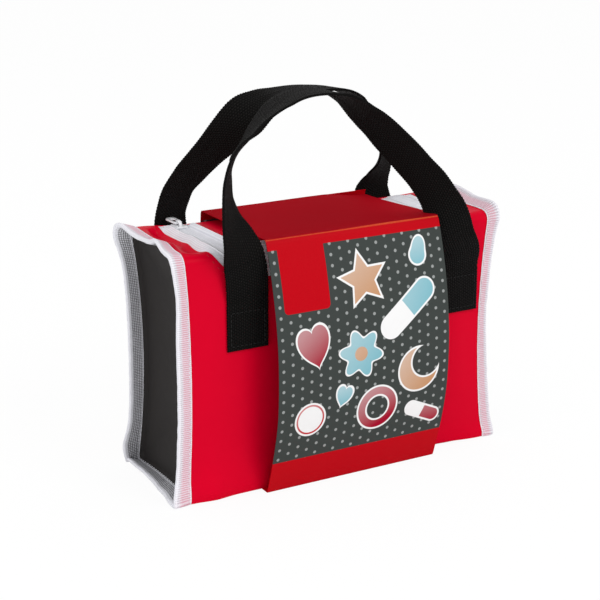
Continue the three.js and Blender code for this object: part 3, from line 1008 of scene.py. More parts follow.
@dataclass
class CaseForm:
    """The case's form along its red wrap.

    s runs once round the section, from the hinge line on the top over the back, the bottom and the
    front, and back over the top. q runs forward along the top, from the start of its front fold.
    """

    half_length: float = 124 * MM
    folds: tuple[float, float, float, float] = (7 * MM, 3.5 * MM, 3.5 * MM, 7 * MM)
    flange: float = 10.5 * MM
    ground: float = 0.4 * MM
    bows: dict[Side, Pair] = field(
        default_factory=lambda: {Side.LEFT: (3.5 * MM, 6.3 * MM), Side.RIGHT: (5.4 * MM, 5 * MM)}
    )
    ridge_bow: float = 2 * MM
    crisp: float = 0.85
    zip_inset: float = 38 * MM
    zip_drop: float = 10.4 * MM
    zip_corner: float = 24 * MM
    zip_width: float = 14.5 * MM
    zip_swells: dict[Side, float] = field(
        default_factory=lambda: {Side.LEFT: 4.6 * MM, Side.RIGHT: 1.4 * MM}
    )
    zip_valleys: dict[Side, float] = field(
        default_factory=lambda: {Side.LEFT: 4.2 * MM, Side.RIGHT: 1.0 * MM}
    )
    ridge_middle: float = 7.8 * MM
    ridge_width: float = 4.6 * MM
    ridge_foot: float = 4.4 * MM
    ridge_blend: float = 3 * MM
    inner_ridge: float = 0.8
    valley_middle: float = 17 * MM
    valley_width: float = 10 * MM
    valley_fade: float = 9 * MM
    broad_wave: float = 0.35 * MM
    fine_wave: float = 0.15 * MM
    free_wave: float = 0.5 * MM
    pillow: float = 0.7 * MM
    pillow_fade: float = 18 * MM
    lift_fade: float = 34 * MM
    low_fullness: float = 4.5 * MM
    low_width: float = 16 * MM
    low_fade: float = 20 * MM
    low_end: float = 42 * MM
    flare_curve: float = 1.4
    hem_lift: float = 0.5 * MM
    hem_run: float = 3 * MM
    hinge_blend: float = 6 * MM
    skin_thickness: float = 0.8 * MM

    def __post_init__(self) -> None:
        """Read the wrap's faces from the frame and work out the lengths round it."""
        self.front = -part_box("front_panel")[0].y
        self.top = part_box("lid_panel")[1].z
        self.bottom = self.ground + 0.2 * MM
        self.middle = (self.top + self.bottom) / 2
        self.half_height = (self.top - self.bottom) / 2
        self.hinge_y = self.front - self.folds[0]
        self.arcs = tuple(radius * math.pi / 2 for radius in self.folds)
        high, deep = 2 * self.half_height, 2 * self.front
        back_top, back_low, front_low, front_top = self.folds
        self.straights = (
            high - back_top - back_low, deep - back_low - front_low,
            high - front_low - front_top, deep - front_top - back_top,
        )
        self.flat = self.straights[3]
        self.around = sum(self.arcs) + sum(self.straights)
        self.zip_x = self.half_length - self.zip_inset
        self.corner_x = self.zip_x - self.zip_corner
        self.corner_q = self.zip_drop - self.zip_corner
        self.low_fold = self.s_at_bottom(-self.front + self.folds[2])
        self.waves()

    def waves(self) -> None:
        """Set where the soft case departs from its plain box."""
        top, bottom, front, back = self.s_at_top, self.s_at_bottom, self.s_at_front, self.s_at_back
        back_corner = self.arcs[0] / 2
        low_back, low_front = bottom(self.front), bottom(-self.front)
        left, right = Side.LEFT, Side.RIGHT
        self.flares = {
            left: Swell.row(
                (top(-4 * MM), 30, 2.2), (top(-14 * MM), 7, 2.2), (back_corner, 12, 4),
                (bottom(12 * MM), 22, -4.2), (low_back, 12, -3.5), (low_front, 10, 2),
            ),
            right: Swell.row(
                (top(14 * MM), 30, 7.5), (top(-16 * MM), 22, 2.2), (top(-33 * MM), 12, 3.5),
                (low_front, 12, 1.5),
            ),
        }
        self.reaches = {
            left: Swell.row(
                (front(135 * MM), 18, -2), (low_front, 12, 3), (bottom(-5 * MM), 40, 2.4),
                (back_corner, 16, 1.8), (back(85 * MM), 55, 1.4), (back(14 * MM), 10, 3.6),
            ),
            right: Swell.row((front(95 * MM), 42, -2.4)),
        }
        self.lifts = {
            left: Swell.row((top(34 * MM), 16, 2.5), (top(-12 * MM), 7, 1.9), (low_front, 11, 3.8)),
            right: Swell.row((top(10 * MM), 30, 1.2), (low_front, 8, 2.4)),
        }

    def s_at_top(self, y: float) -> float:
        """Return s at a depth on the top."""
        return self.around - (self.hinge_y - y)

    def s_at_bottom(self, y: float) -> float:
        """Return s at a depth on the bottom."""
        return sum(self.arcs[:2]) + self.straights[0] + (self.front - self.folds[1] - y)

    def s_at_front(self, z: float) -> float:
        """Return s at a height on the front face."""
        return sum(self.arcs[:3]) + sum(self.straights[:2]) + (z - self.bottom - self.folds[2])

    def s_at_back(self, z: float) -> float:
        """Return s at a height on the back face."""
        return self.arcs[0] + (self.top - self.folds[0] - z)

    def s_of(self, q: float) -> float:
        """Return s at a distance forward of the start of the top front fold."""
        return self.around - self.flat - q

    def q_of(self, s: float) -> float:
        """Return q at a place round the wrap, counted on backwards past the hinge line."""
        start = 0.0 if s < self.around / 2 else self.around
        return start - self.flat - s

    def section(self, s: float) -> tuple[Vector, Vector]:
        """Return a point of the wrap's section.

        Args:
            s: the place round the wrap.

        Returns:
            The point and its outward direction, both with x at 0.
        """
        left = s % self.around
        sides = ((1, 1), (1, -1), (-1, -1), (-1, 1))
        for turn, (side_y, side_z) in enumerate(sides):
            radius, arc, straight = self.folds[turn], self.arcs[turn], self.straights[turn]
            centre = Vector((
                0, side_y * (self.front - radius), self.middle + side_z * (self.half_height - radius)
            ))
            angle = math.pi / 2 * (1 - turn) - min(left, arc) / radius
            out = Vector((0, math.cos(angle), math.sin(angle)))
            if left <= arc:
                return centre + out * radius, out
            left -= arc
            if left <= straight:
                return centre + out * radius + Vector((0, out.z, -out.y)) * left, out
            left -= straight
        return self.section(0)

    def sum_at(self, swells: Sequence[Swell], s: float) -> float:
        """Return the sum of waves at s, each counted the short way round."""
        total = 0.0
        for swell in swells:
            apart = (s - swell.middle + self.around / 2) % self.around - self.around / 2
            total += swell.height * hump(apart, swell.width)
        return total

    def draw_in(self, side: Side, y: float, z: float) -> float:
        """Return how far an end draws in at a depth and height."""
        high = (z - self.middle) / self.half_height
        deep = min(1.0, max(-1.0, y / self.front))
        front_bow, back_bow = self.bows[side]
        bow = front_bow + (back_bow - front_bow) * (deep + 1) / 2
        return bow * max(0.0, 1 - high * high) + self.ridge_bow * (1 - deep * deep)

    def outer(self, side: Side, s: float) -> float:
        """Return how far from the middle an end's flange reaches at s."""
        point, _ = self.section(s)
        return self.half_length - self.draw_in(side, point.y, point.z)

    def flare(self, side: Side, s: float) -> float:
        """Return how far the free edge of an end's flange waves out of the wrap's face at s."""
        here = s % self.around
        return self.sum_at(self.flares[side], here) + self.free_wave * ripple(here, side.value, 0, 55)

    def reach(self, side: Side, s: float) -> float:
        """Return the share by which an end's flange is wider than its plain width at s."""
        return 1 + self.sum_at(self.reaches[side], s) / self.flange

    def zip_distance(self, x: float, q: float) -> float:
        """Return the distance from the coil's line, above 0 outside the U of the zip."""
        past_x = abs(x) - self.corner_x
        past_q = q - self.corner_q
        rounded = math.hypot(max(past_x, 0.0), max(past_q, 0.0))
        return rounded + min(max(past_x, past_q), 0.0) - self.zip_corner

    def puff(self, x: float, s: float) -> float:
        """Return how far the soft wrap stands off its plain face.

        Args:
            x: the place along the case.
            s: the place round the wrap.

        Returns:
            The height above the plain face, in metres.
        """
        side = Side.LEFT if x < 0 else Side.RIGHT
        here = s % self.around
        inward = self.outer(side, here) - self.flange - abs(x)
        fade = smooth(inward / self.pillow_fade)
        point, out = self.section(here)
        waves = self.broad_wave * ripple(x, here, 0.2, 24) + self.fine_wave * ripple(x, here, 0.7, 60)
        high = (point.z - self.middle) / self.half_height
        pillow = self.pillow * abs(out.y) * (1 - high * high) * fade + self.low_swell(x, here)
        q = self.q_of(here)
        from_coil = self.zip_distance(x, q)
        near = smooth((9 * MM - abs(from_coil)) / (6 * MM))
        lift = self.sum_at(self.lifts[side], here) * smooth(1 - inward / self.lift_fade)
        return waves * (1 - near) * fade + pillow + self.zip_relief(side, q, from_coil, inward) + lift

    def zip_relief(self, side: Side, q: float, from_coil: float, inward: float) -> float:
        """Return the ridge that the wrap makes beside the coil, less the valley past it.

        Args:
            side: the nearer end of the case.
            q: the distance forward of the start of the top front fold.
            from_coil: the distance from the coil's line, above 0 outside the U.
            inward: the distance from the seam of the end's flange.

        Returns:
            The height above the plain face, in metres.
        """
        off = abs(from_coil)
        reach = smooth((q + self.flat - 2 * MM) / (10 * MM)) * smooth((6 * MM - q) / (14 * MM))
        rise = smooth((off - self.ridge_foot) / self.ridge_blend)
        swell = self.zip_swells[side] * (1.0 if from_coil > 0 else self.inner_ridge)
        ridge = swell * hump(off - self.ridge_middle, self.ridge_width) * rise * reach
        valley = self.zip_valleys[side] * hump(from_coil - self.valley_middle, self.valley_width) * reach
        return ridge - valley * smooth(inward / self.valley_fade)

    def low_swell(self, x: float, s: float) -> float:
        """Return how far the lower left front stands off its plain face."""
        from_fold = s - self.low_fold - self.arcs[2]
        inside = smooth((self.outer(Side.LEFT, s) - self.flange + x) / self.low_fade)
        outside = smooth((-x - self.low_end) / self.low_fade)
        return self.low_fullness * hump(from_fold, self.low_width) * inside * outside

    def sharpen(self, s: float) -> float:
        """Return how far the lower front fold stands off its plain round."""
        from_middle = s % self.around - self.low_fold - self.arcs[2] / 2
        apart = min(abs(from_middle) / self.folds[2], math.pi / 4)
        return self.crisp * self.folds[2] * (1 / math.cos(math.pi / 4 - apart) - 1)

    def skin(self, x: float, s: float, offset: float = 0) -> Vector:
        """Return a point of the soft wrap.

        Args:
            x: the place along the case.
            s: the place round the wrap.
            offset: the distance out of the wrap's face.

        Returns:
            The point, held above the ground.
        """
        point, out = self.section(s)
        side = Side.LEFT if x < 0 else Side.RIGHT
        into = max(0.0, abs(x) - (self.outer(side, s) - self.flange))
        wave = self.flare(side, s) * (into / self.flange) ** self.flare_curve
        place = point + out * (offset + self.puff(x, s) + self.sharpen(s) + wave)
        wide = x + side.value * into * (self.reach(side, s) - 1)
        lowest = self.ground + max(0.0, offset) + self.hem_lift * min(1.0, into / self.hem_run)
        return Vector((wide, place.y, max(place.z, lowest)))

    def bend_at_hinge(self, piece: Piece) -> None:
        """Write a piece of the lid's place, turn and scale into its mesh."""
        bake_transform(piece)


@dataclass
class Wrap:
    """The red sheet: front, bottom, back and top strips in one, and the lid inside the zip."""

    form: CaseForm
    coated: Finish
    back: Finish
    cell: float = 2 * MM
    edge_gap: float = 0.5 * MM
    crisp_gap: float = 1.6

    def build(self) -> list[Piece]:
        """Build and dress the wrap and the lid."""
        return [self.body(), self.lid()]

    def place(self, across: float, along: float) -> Vector:
        """Return the point of the wrap at a place on the flat sheet."""
        form = self.form
        share = across / form.half_length - 1
        side = Side.LEFT if share < 0 else Side.RIGHT
        held_back = self.edge_gap + self.crisp_gap * form.sharpen(along)
        x = share * (form.outer(side, along) - held_back)
        return form.skin(x, along)

    def body(self) -> Piece:
        """Build the part of the sheet outside the zip.

        Returns:
            The piece.
        """
        form = self.form
        size = (2 * form.half_length, form.around)
        cells = (round(size[0] / self.cell), round(size[1] / self.cell))

        def inside(across: float, along: float) -> float:
            """Return how far a point lies outside the zip's cut."""
            if along < form.around / 2:
                return self.cell
            x = across - form.half_length
            return form.zip_distance(x, form.s_of(0) - along) - form.zip_width

        piece = Bench.sheet("red_wrap", cells, size, self.place, inside)
        Bench.thicken(piece, form.skin_thickness, -1, lined=True)
        Bench.soften(piece)
        Bench.dress(piece, "red_coated_fabric", self.coated, self.back)
        cut = 2 * (form.zip_x + form.zip_width) * (form.flat + form.zip_drop + form.zip_width)
        size[0] * size[1] - cut
        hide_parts("front_panel", "back_panel", "bottom_panel", "top_strip_left", "top_strip_right")
        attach(piece, "root")
        return piece

    def lid(self) -> Piece:
        """Build the lid, the sheet inside the zip; on the real case it bends on its own fabric along the
        hinge line.

        Returns:
            The piece.
        """
        form = self.form
        half = form.zip_x - form.zip_width
        length = form.flat + form.zip_drop - form.zip_width
        size = (2 * half + 2 * self.cell, length + self.cell)
        cells = (round(size[0] / self.cell), round(size[1] / self.cell))

        def place(across: float, along: float) -> Vector:
            """Return the point of the lid at a place on the flat sheet."""
            return form.skin(across - size[0] / 2, form.around - size[1] + self.cell / 2 + along)

        def inside(across: float, along: float) -> float:
            """Return how far a point lies inside the lid's outline."""
            q = size[1] - self.cell / 2 - along - form.flat
            x = across - size[0] / 2
            return min(-form.zip_distance(x, q) - form.zip_width, q + form.flat)

        piece = Bench.sheet("lid_skin", cells, size, place, inside)
        Bench.thicken(piece, form.skin_thickness, -1, lined=True)
        Bench.soften(piece)
        Bench.dress(piece, "red_coated_fabric", self.coated, self.back)
        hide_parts("lid_panel")
        form.bend_at_hinge(piece)
        return piece


@dataclass
class Zip:
    """The U-shaped zip: two ribbed tapes, two rows of teeth, their seams, and the slider."""

    form: CaseForm
    tape: Finish
    coil: Finish
    metal: Finish
    thread: Finish
    tuck: float = 1.5 * MM
    tape_low: float = 1.25 * MM
    tape_thickness: float = 0.7 * MM
    cord_pitch: float = 1.75 * MM
    cord_height: float = 0.45 * MM
    cord_reach: float = 8.2 * MM
    cord_bed: float = 0.35 * MM
    tape_cells: tuple[int, int] = (36, 190)
    coil_inner: float = 0.25 * MM
    tooth: Triple = (2.7 * MM, 0.95 * MM, 1.5 * MM)
    tooth_pitch: float = 1.3 * MM
    tooth_overlap: float = 0.15 * MM
    tooth_low: float = 0.5 * MM
    tooth_slant: float = 14.0
    seam: float = 2.2 * MM
    seam_end: float = 3 * MM
    stitch: Triple = (2.3 * MM, 0.5 * MM, 0.45 * MM)
    stitch_pitch: float = 3.1 * MM
    stitch_rise: float = 0.02 * MM

    def __post_init__(self) -> None:
        """Work out the length of the zip's track."""
        form = self.form
        self.start_q = -form.flat - self.tuck
        self.run = form.corner_q - self.start_q
        self.turn = form.zip_corner * math.pi / 2
        self.length = 2 * (self.run + self.turn + form.corner_x)

    def track(self, along: float) -> tuple[float, float, float, float]:
        """Follow the zip's line from its left end to its right end.

        Args:
            along: the distance along the line.

        Returns:
            x and q, and the outward direction in x and q.
        """
        form = self.form
        if along > self.length / 2:
            x, q, out_x, out_q = self.track(self.length - along)
            return -x, q, -out_x, out_q
        if along < self.run:
            return -form.zip_x, self.start_q + along, -1.0, 0.0
        if along < self.run + self.turn:
            angle = math.pi - (along - self.run) / form.zip_corner
            out_x, out_q = math.cos(angle), math.sin(angle)
            x = -form.corner_x + form.zip_corner * out_x
            return x, form.corner_q + form.zip_corner * out_q, out_x, out_q
        return -form.corner_x + along - self.run - self.turn, form.zip_drop, 0.0, 1.0

    def point(self, along: float, across: float, height: float) -> Vector:
        """Return a point beside the zip's line, at a height over the wrap's face."""
        x, q, out_x, out_q = self.track(along)
        return self.form.skin(x + out_x * across, self.form.s_of(q + out_q * across), height)

    def frame(self, along: float, across: float, height: float, turn: float = 0) -> Matrix:
        """Return a frame beside the line, with X along the zip, Y across it and Z out of the face.

        Args:
            along: the distance along the line.
            across: the distance from it, above 0 outside the U.
            height: the distance out of the wrap's face.
            turn: the turn about Z, in degrees.

        Returns:
            The frame's matrix.
        """
        step = 0.4 * MM
        here = self.point(along, across, height)
        forward = (self.point(along + step, across, height) - here).normalized()
        upward = (self.point(along, across, height + step) - here).normalized()
        sideways = upward.cross(forward).normalized()
        turned = Matrix((forward, sideways, upward)).transposed().to_4x4()
        return Matrix.Translation(here) @ turned @ Matrix.Rotation(math.radians(turn), 4, "Z")

    def relief(self, off: float) -> float:
        """Return the height of the tape's face at a distance from the zip's line."""
        cords = 0.0
        if off < self.cord_reach:
            cords = self.cord_height * abs(math.sin(math.pi * (off - self.coil_inner) / self.cord_pitch))
        return cords - self.tape_low + self.cord_bed * smooth((self.cord_reach - off) / (5 * MM))

    def build(self) -> list[Piece]:
        """Build and dress every piece of the zip.

        Returns:
            The pieces.
        """
        pieces = []
        for tape, nodes in (
            (Tape.OUTER, ("zip_tape_body", "zip_end_left", "zip_end_right")),
            (Tape.INNER, ("zip_tape_lid",)),
        ):
            ribbon = self.ribbon(tape)
            Bench.dress(ribbon, "zip_tape", self.tape)
            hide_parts(*nodes)
            teeth = self.teeth(tape)
            Bench.dress(teeth, "zip_coil", self.coil)
            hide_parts("zip_coil_body" if tape is Tape.OUTER else "zip_coil_lid")
            seam = self.stitches(tape)
            Bench.dress(seam, "red_coated_fabric", self.thread)
            for piece in (ribbon, teeth, seam):
                if tape is Tape.OUTER:
                    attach(piece, "root")
                else:
                    self.form.bend_at_hinge(piece)
                pieces.append(piece)
        return pieces + Slider(self.form, self.metal).build()

    def ribbon(self, tape: Tape) -> Piece:
        """Build the tape on one side of the coil.

        Args:
            tape: which tape.

        Returns:
            The tape.
        """
        wide = self.form.zip_width + self.tuck - self.coil_inner
        size = (wide, self.length)

        def place(across: float, along: float) -> Vector:
            """Return the point of the tape at a place on the flat tape."""
            off = self.coil_inner + (across if tape is Tape.OUTER else wide - across)
            return self.point(self.length - along, tape.value * off, self.relief(off))

        piece = Bench.sheet(f"zip_tape_{tape.word}", self.tape_cells, size, place)
        Bench.thicken(piece, self.tape_thickness, -1)
        Bench.merge(piece, turn_out=True)
        Bench.soften(piece)
        return piece

    def teeth(self, tape: Tape) -> Piece:
        """Build one side's row of teeth.

        Args:
            tape: the tape that they are on.

        Returns:
            The teeth, as one piece.
        """
        count = int((self.length - 2 * self.tuck) / self.tooth_pitch)
        start = self.tuck + (0.0 if tape is Tape.OUTER else self.tooth_pitch / 2)
        across = tape.value * (self.tooth[0] / 2 - self.tooth_overlap)
        places = [
            self.frame(start + index * self.tooth_pitch, across, -self.tooth_low, 90 + self.tooth_slant)
            for index in range(count)
        ]
        return Bench.repeat(f"zip_teeth_{tape.word}", Bench.bead(*self.tooth), places)

    def stitches(self, tape: Tape) -> Piece:
        """Build the seam that holds the red edge on one tape.

        Args:
            tape: the tape that it holds.

        Returns:
            The stitches, as one piece.
        """
        count = int((self.length - 2 * self.seam_end) / self.stitch_pitch)
        across = tape.value * (self.form.zip_width + self.seam)
        steps = [self.seam_end + index * self.stitch_pitch for index in range(count)]
        places = [self.frame(step, across, self.stitch_rise) for step in steps]
        return Bench.repeat(f"zip_seam_{tape.word}", Bench.bead(*self.stitch), places)


@dataclass
class Slider:
    """The zip's slider: a saddle with a bridge, the wing under the coil, and the pull."""

    form: CaseForm
    metal: Finish
    plate: float = 1.2 * MM
    skirt: float = 0.95 * MM
    tail_share: float = 0.72
    bridge_wire: float = 0.75 * MM
    bridge_radius: float = 3.3 * MM
    bridge_flare: float = 1.5
    rounding: float = 0.35 * MM
    skirt_gap: float = 0.3 * MM
    rail: float = 1.3 * MM
    pull_plate: float = 5.2 * MM
    pull_rounding: float = 0.3 * MM

    def build(self) -> list[Piece]:
        """Build and dress the slider's pieces.

        Returns:
            The pieces.
        """
        pieces = []
        for piece, node, body in (
            (self.saddle(), "zip_slider", "slider"),
            (self.wing(), "zip_slider_wing", "slider"),
            (self.pull(), "zip_pull", "pull"),
        ):
            Bench.soften(piece)
            Bench.dress(piece, "white_metal", self.metal)
            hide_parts(node)
            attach(piece, body)
            pieces.append(piece)
        return pieces

    @staticmethod
    def block(name: str, low: Vector, high: Vector) -> Piece:
        """Add a block between two corners, as the start of a piece."""
        bpy.ops.object.select_all(action="DESELECT")
        bpy.ops.mesh.primitive_cube_add(size=1, location=(low + high) / 2, scale=high - low)
        piece = Bench.name(bpy.context.active_object, name)
        Bench.settle(piece)
        return piece

    def taper(self, piece: Piece, low: Vector, high: Vector) -> None:
        """Narrow the tail of a plate between two corners, which is its back end."""
        middle = (low.x + high.x) / 2
        for vertex in piece.data.vertices:
            toward_tail = smooth((vertex.co.y - low.y) / (high.y - low.y))
            vertex.co.x = middle + (vertex.co.x - middle) * (1 - (1 - self.tail_share) * toward_tail)

    def saddle(self) -> Piece:
        """Build the saddle with its side skirts, and the bridge that holds the pull.

        Returns:
            The piece.
        """
        low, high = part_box("zip_slider")
        wing_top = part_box("zip_slider_wing")[1].z
        plate_top = self.form.top + (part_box("zip_pull")[0].z - self.form.top) * 0.6
        under = plate_top - self.plate
        corners = Vector((low.x, low.y, under)), Vector((high.x, high.y, plate_top))
        piece = self.block("slider_saddle", *corners)
        bpy.ops.object.mode_set(mode="EDIT")
        middle = (low.x + high.x) / 2
        for x in (low.x + self.skirt, high.x - self.skirt):
            bpy.ops.mesh.select_all(action="SELECT")
            bpy.ops.mesh.bisect(plane_co=(x, 0, 0), plane_no=(1, 0, 0))
        for y_share in (0.25, 0.5, 0.75):
            bpy.ops.mesh.select_all(action="SELECT")
            bpy.ops.mesh.bisect(plane_co=(0, low.y + (high.y - low.y) * y_share, 0), plane_no=(0, 1, 0))
        bpy.ops.object.mode_set(mode="OBJECT")
        half = (high.x - low.x) / 2 - self.skirt
        Bench.mark_faces(piece, lambda face: face.normal.z < -0.5 and abs(face.center.x - middle) > half)
        bpy.ops.object.mode_set(mode="EDIT")
        bpy.ops.mesh.select_mode(type="FACE")
        drop = max(low.z, wing_top + self.skirt_gap) - under
        bpy.ops.mesh.extrude_region_move(TRANSFORM_OT_translate={"value": (0, 0, drop)})
        bpy.ops.object.mode_set(mode="OBJECT")
        self.taper(piece, low, high)
        Bench.apply(piece, "BEVEL", width=self.rounding, segments=3, limit_method="ANGLE")
        bridge = self.bridge(middle, (low.y + high.y) / 2, plate_top, high.z)
        Bench.pick(piece, bridge)
        bpy.ops.object.join()
        return piece

    def bridge(self, x: float, y: float, low: float, high: float) -> Piece:
        """Bend the bridge as a round wire that arches over the plate.

        Args:
            x: its place along the case.
            y: its middle.
            low: the plate's face.
            high: the bridge's top.

        Returns:
            The bridge, closed at both feet.
        """
        start = (x, y - self.bridge_radius, low)
        bpy.ops.object.select_all(action="DESELECT")
        bpy.ops.mesh.primitive_circle_add(
            vertices=12, radius=self.bridge_wire, fill_type="NGON", location=start
        )
        wire = bpy.context.active_object
        Bench.settle(wire)
        bpy.ops.object.mode_set(mode="EDIT")
        bpy.ops.mesh.select_all(action="SELECT")
        bpy.ops.mesh.spin(steps=14, angle=math.pi, center=(x, y, low), axis=(1, 0, 0))
        bpy.ops.object.mode_set(mode="OBJECT")
        reach = max(v.co.z for v in wire.data.vertices) - low
        for vertex in wire.data.vertices:
            vertex.co.z = low + (vertex.co.z - low) * (high - low) / reach - self.bridge_wire * 0.3
            vertex.co.x = x + (vertex.co.x - x) * self.bridge_flare
        Bench.merge(wire, turn_out=True)
        return wire

    def wing(self) -> Piece:
        """Build the plate under the coil."""
        low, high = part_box("zip_slider_wing")
        piece = self.block("slider_wing", low, high)
        Bench.apply(piece, "SUBSURF", subdivision_type="SIMPLE", levels=2, render_levels=2)
        self.taper(piece, low, high)
        Bench.apply(piece, "BEVEL", width=self.rounding, segments=2, limit_method="ANGLE")
        return piece

    def pull(self) -> Piece:
        """Build the pull: a rounded frame with an eye, and a plate at its free end.

        Returns:
            The piece.
        """
        low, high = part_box("zip_pull")
        wide = high.x - low.x
        middle = (low.x + high.x) / 2
        bpy.ops.object.select_all(action="DESELECT")
        bpy.ops.mesh.primitive_cylinder_add(
            vertices=40,
            radius=wide / 2,
            depth=high.z - low.z,
            location=(middle, high.y - wide / 2, (low.z + high.z) / 2),
        )
        piece = Bench.name(bpy.context.active_object, "slider_pull")
        Bench.settle(piece)
        turn_y = high.y - wide / 2
        stretch = turn_y - wide / 2 - low.y
        Bench.mark_faces(piece, lambda face: abs(face.normal.z) > 0.5)
        bpy.ops.object.mode_set(mode="EDIT")
        bpy.ops.mesh.select_mode(type="FACE")
        bpy.ops.mesh.inset(thickness=self.rail, use_individual=True)
        bpy.ops.mesh.bridge_edge_loops()
        bpy.ops.object.mode_set(mode="OBJECT")
        eye_end = high.y - self.pull_plate
        for vertex in piece.data.vertices:
            away = math.hypot(vertex.co.x - middle, vertex.co.y - turn_y)
            if away < wide / 2 - self.rail * 0.5 and vertex.co.y > eye_end:
                vertex.co.y = eye_end
            if vertex.co.y < turn_y - TINY and vertex.co.y < eye_end:
                vertex.co.y -= stretch
        Bench.merge(piece, turn_out=True)
        Bench.apply(piece, "BEVEL", width=self.pull_rounding, segments=2, limit_method="ANGLE")
        return piece


@dataclass
class BoundEnd:
    """One end of the case: the black panel, the binding round its flange, and the binding's seams."""

    form: CaseForm
    side: Side
    panel: Finish
    lining: Finish
    tape: Finish
    thread: Finish
    tape_thickness: float = 0.7 * MM
    fold: float = 1.2 * MM
    core: float = -0.8 * MM
    panel_cells: tuple[int, int] = (38, 78)
    panel_gap: float = 0.5 * MM
    panel_wave: float = 0.5 * MM
    dish: float = 4 * MM
    dish_run: float = 32 * MM
    rim_run: float = 6 * MM
    lip: float = 2.5 * MM
    tape_cells: tuple[int, int] = (28, 360)
    hem_gap: float = 1.4 * MM
    hem_tuck: float = 0.35 * MM
    hem_round: float = 2.5 * MM
    pucker: float = 0.28 * MM
    frill: float = 0.25 * MM
    lowest: float = 0.3 * MM
    lowest_share: float = 0.4
    stitch: Triple = (2.1 * MM, 0.5 * MM, 0.4 * MM)
    stitch_pitch: float = 3.0 * MM
    stitch_inset: float = 1.7 * MM

    def __post_init__(self) -> None:
        """Work out the width of the binding across both legs."""
        self.leg = self.form.flange - self.fold
        self.width = 2 * self.leg + math.pi * self.fold

    def point(self, across: float, s: float, proud: float = 0) -> Vector:
        """Return a point of the binding.

        Args:
            across: the distance from the outer leg's hem, over the fold to the inner leg's hem.
            s: the place round the wrap.
            proud: the distance out of the tape's face.

        Returns:
            The point.
        """
        form = self.form
        radius = self.fold + proud
        bend = min(math.pi, max(0.0, (across - self.leg) / self.fold))
        into = min(across, self.width - across, self.leg) + radius * math.sin(bend)
        into += self.hem_gap * max(0.0, 1 - across / self.leg)
        pucker = self.pucker * ripple(s, across, self.side.value, 150)
        tuck = self.hem_tuck * smooth(1 - min(across, self.width - across) / self.hem_round)
        off = (radius + pucker - tuck) * math.cos(bend) + self.core
        base, out = form.section(s)
        wave = form.flare(self.side, s) * (into / form.flange) ** form.flare_curve
        frill = self.frill * ripple(s, 3.1, self.side.value, 210) * (into / form.flange)
        x = form.outer(self.side, s) - form.flange + into * form.reach(self.side, s) + frill
        wave += form.sum_at(form.lifts[self.side], s) + form.sharpen(s)
        place = base + out * (off + wave)
        lowest = self.lowest + radius * (self.lowest_share + 1 - math.cos(bend))
        return Vector((self.side.value * x, place.y, max(place.z, lowest)))

    def build(self) -> list[Piece]:
        """Build and dress the end.

        Returns:
            The pieces.
        """
        word = self.side.word
        gusset = self.gusset()
        Bench.dress(gusset, "black_coated_fabric", self.panel, self.lining)
        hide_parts(f"end_panel_{word}")
        binding = self.binding()
        Bench.dress(binding, "white_binding", self.tape)
        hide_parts(f"binding_{word}")
        seam = self.stitches()
        Bench.dress(seam, "white_binding", self.thread)
        pieces = [gusset, binding, seam]
        for piece in pieces:
            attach(piece, "root")
        return pieces

    def gusset(self) -> Piece:
        """Build the black panel, hollow in the middle and turned out at its rim.

        Returns:
            The panel.
        """
        form = self.form
        inset = -self.core + self.fold + self.tape_thickness / 2
        half_y = form.front - inset
        half_z = form.half_height - inset
        radius = form.folds[0] - inset
        size = (2 * half_y, 2 * half_z)

        def depth(across: float, along: float) -> float:
            """Return how far a point lies inside the panel's outline."""
            past_y = abs(across - half_y) - (half_y - radius)
            past_z = abs(along - half_z) - (half_z - radius)
            return radius - math.hypot(max(past_y, 0), max(past_z, 0)) - min(max(past_y, past_z), 0)

        def place(across: float, along: float) -> Vector:
            """Return the point of the panel at a place on the flat sheet."""
            y = (across - half_y) * self.side.value * -1
            z = form.middle + along - half_z
            rim = depth(across, along)
            wave = self.panel_wave * ripple(y, z, self.side.value, 30)
            hollow = (self.dish * smooth(rim / self.dish_run) + wave) * smooth(rim / self.rim_run)
            turned = self.lip * (1 - smooth(rim / self.lip)) ** 2
            x = form.half_length - form.draw_in(self.side, y, z) - form.flange - self.panel_gap
            return Vector((self.side.value * (x - hollow + turned), y, z))

        piece = Bench.sheet(f"end_gusset_{self.side.word}", self.panel_cells, size, place, depth)
        Bench.thicken(piece, form.skin_thickness, -1, lined=True)
        Bench.soften(piece)
        return piece

    def binding(self) -> Piece:
        """Build the binding as one closed ring of folded tape.

        Returns:
            The ring.
        """
        size = (self.width, self.form.around)
        piece = Bench.sheet(f"binding_tape_{self.side.word}", self.tape_cells, size, self.point)
        Bench.merge(piece)
        Bench.thicken(piece, self.tape_thickness)
        Bench.merge(piece, turn_out=True)
        Bench.soften(piece, 50)
        return piece

    def stitches(self) -> Piece:
        """Build the seam along the outer and the inner leg.

        Returns:
            The stitches, as one piece.
        """
        count = round(self.form.around / self.stitch_pitch)
        step = 0.3 * MM
        places = []
        proud = self.tape_thickness / 2
        for across in (self.stitch_inset, self.width - self.stitch_inset):
            for index in range(count):
                s = index * self.form.around / count
                here = self.point(across, s, proud)
                forward = (self.point(across, s + step, proud) - here).normalized()
                sideways = (self.point(across + step, s, proud) - here).normalized()
                upward = forward.cross(sideways).normalized()
                turned = Matrix((forward, upward.cross(forward), upward)).transposed().to_4x4()
                places.append(Matrix.Translation(here) @ turned)
        return Bench.repeat(f"binding_seam_{self.side.word}", Bench.bead(*self.stitch), places)


@dataclass(frozen=True)
class Foot:
    """The sewn end of a strap: its middle, its lower end, and the height where it leaves the case."""

    x: float
    low: float
    leaves: float


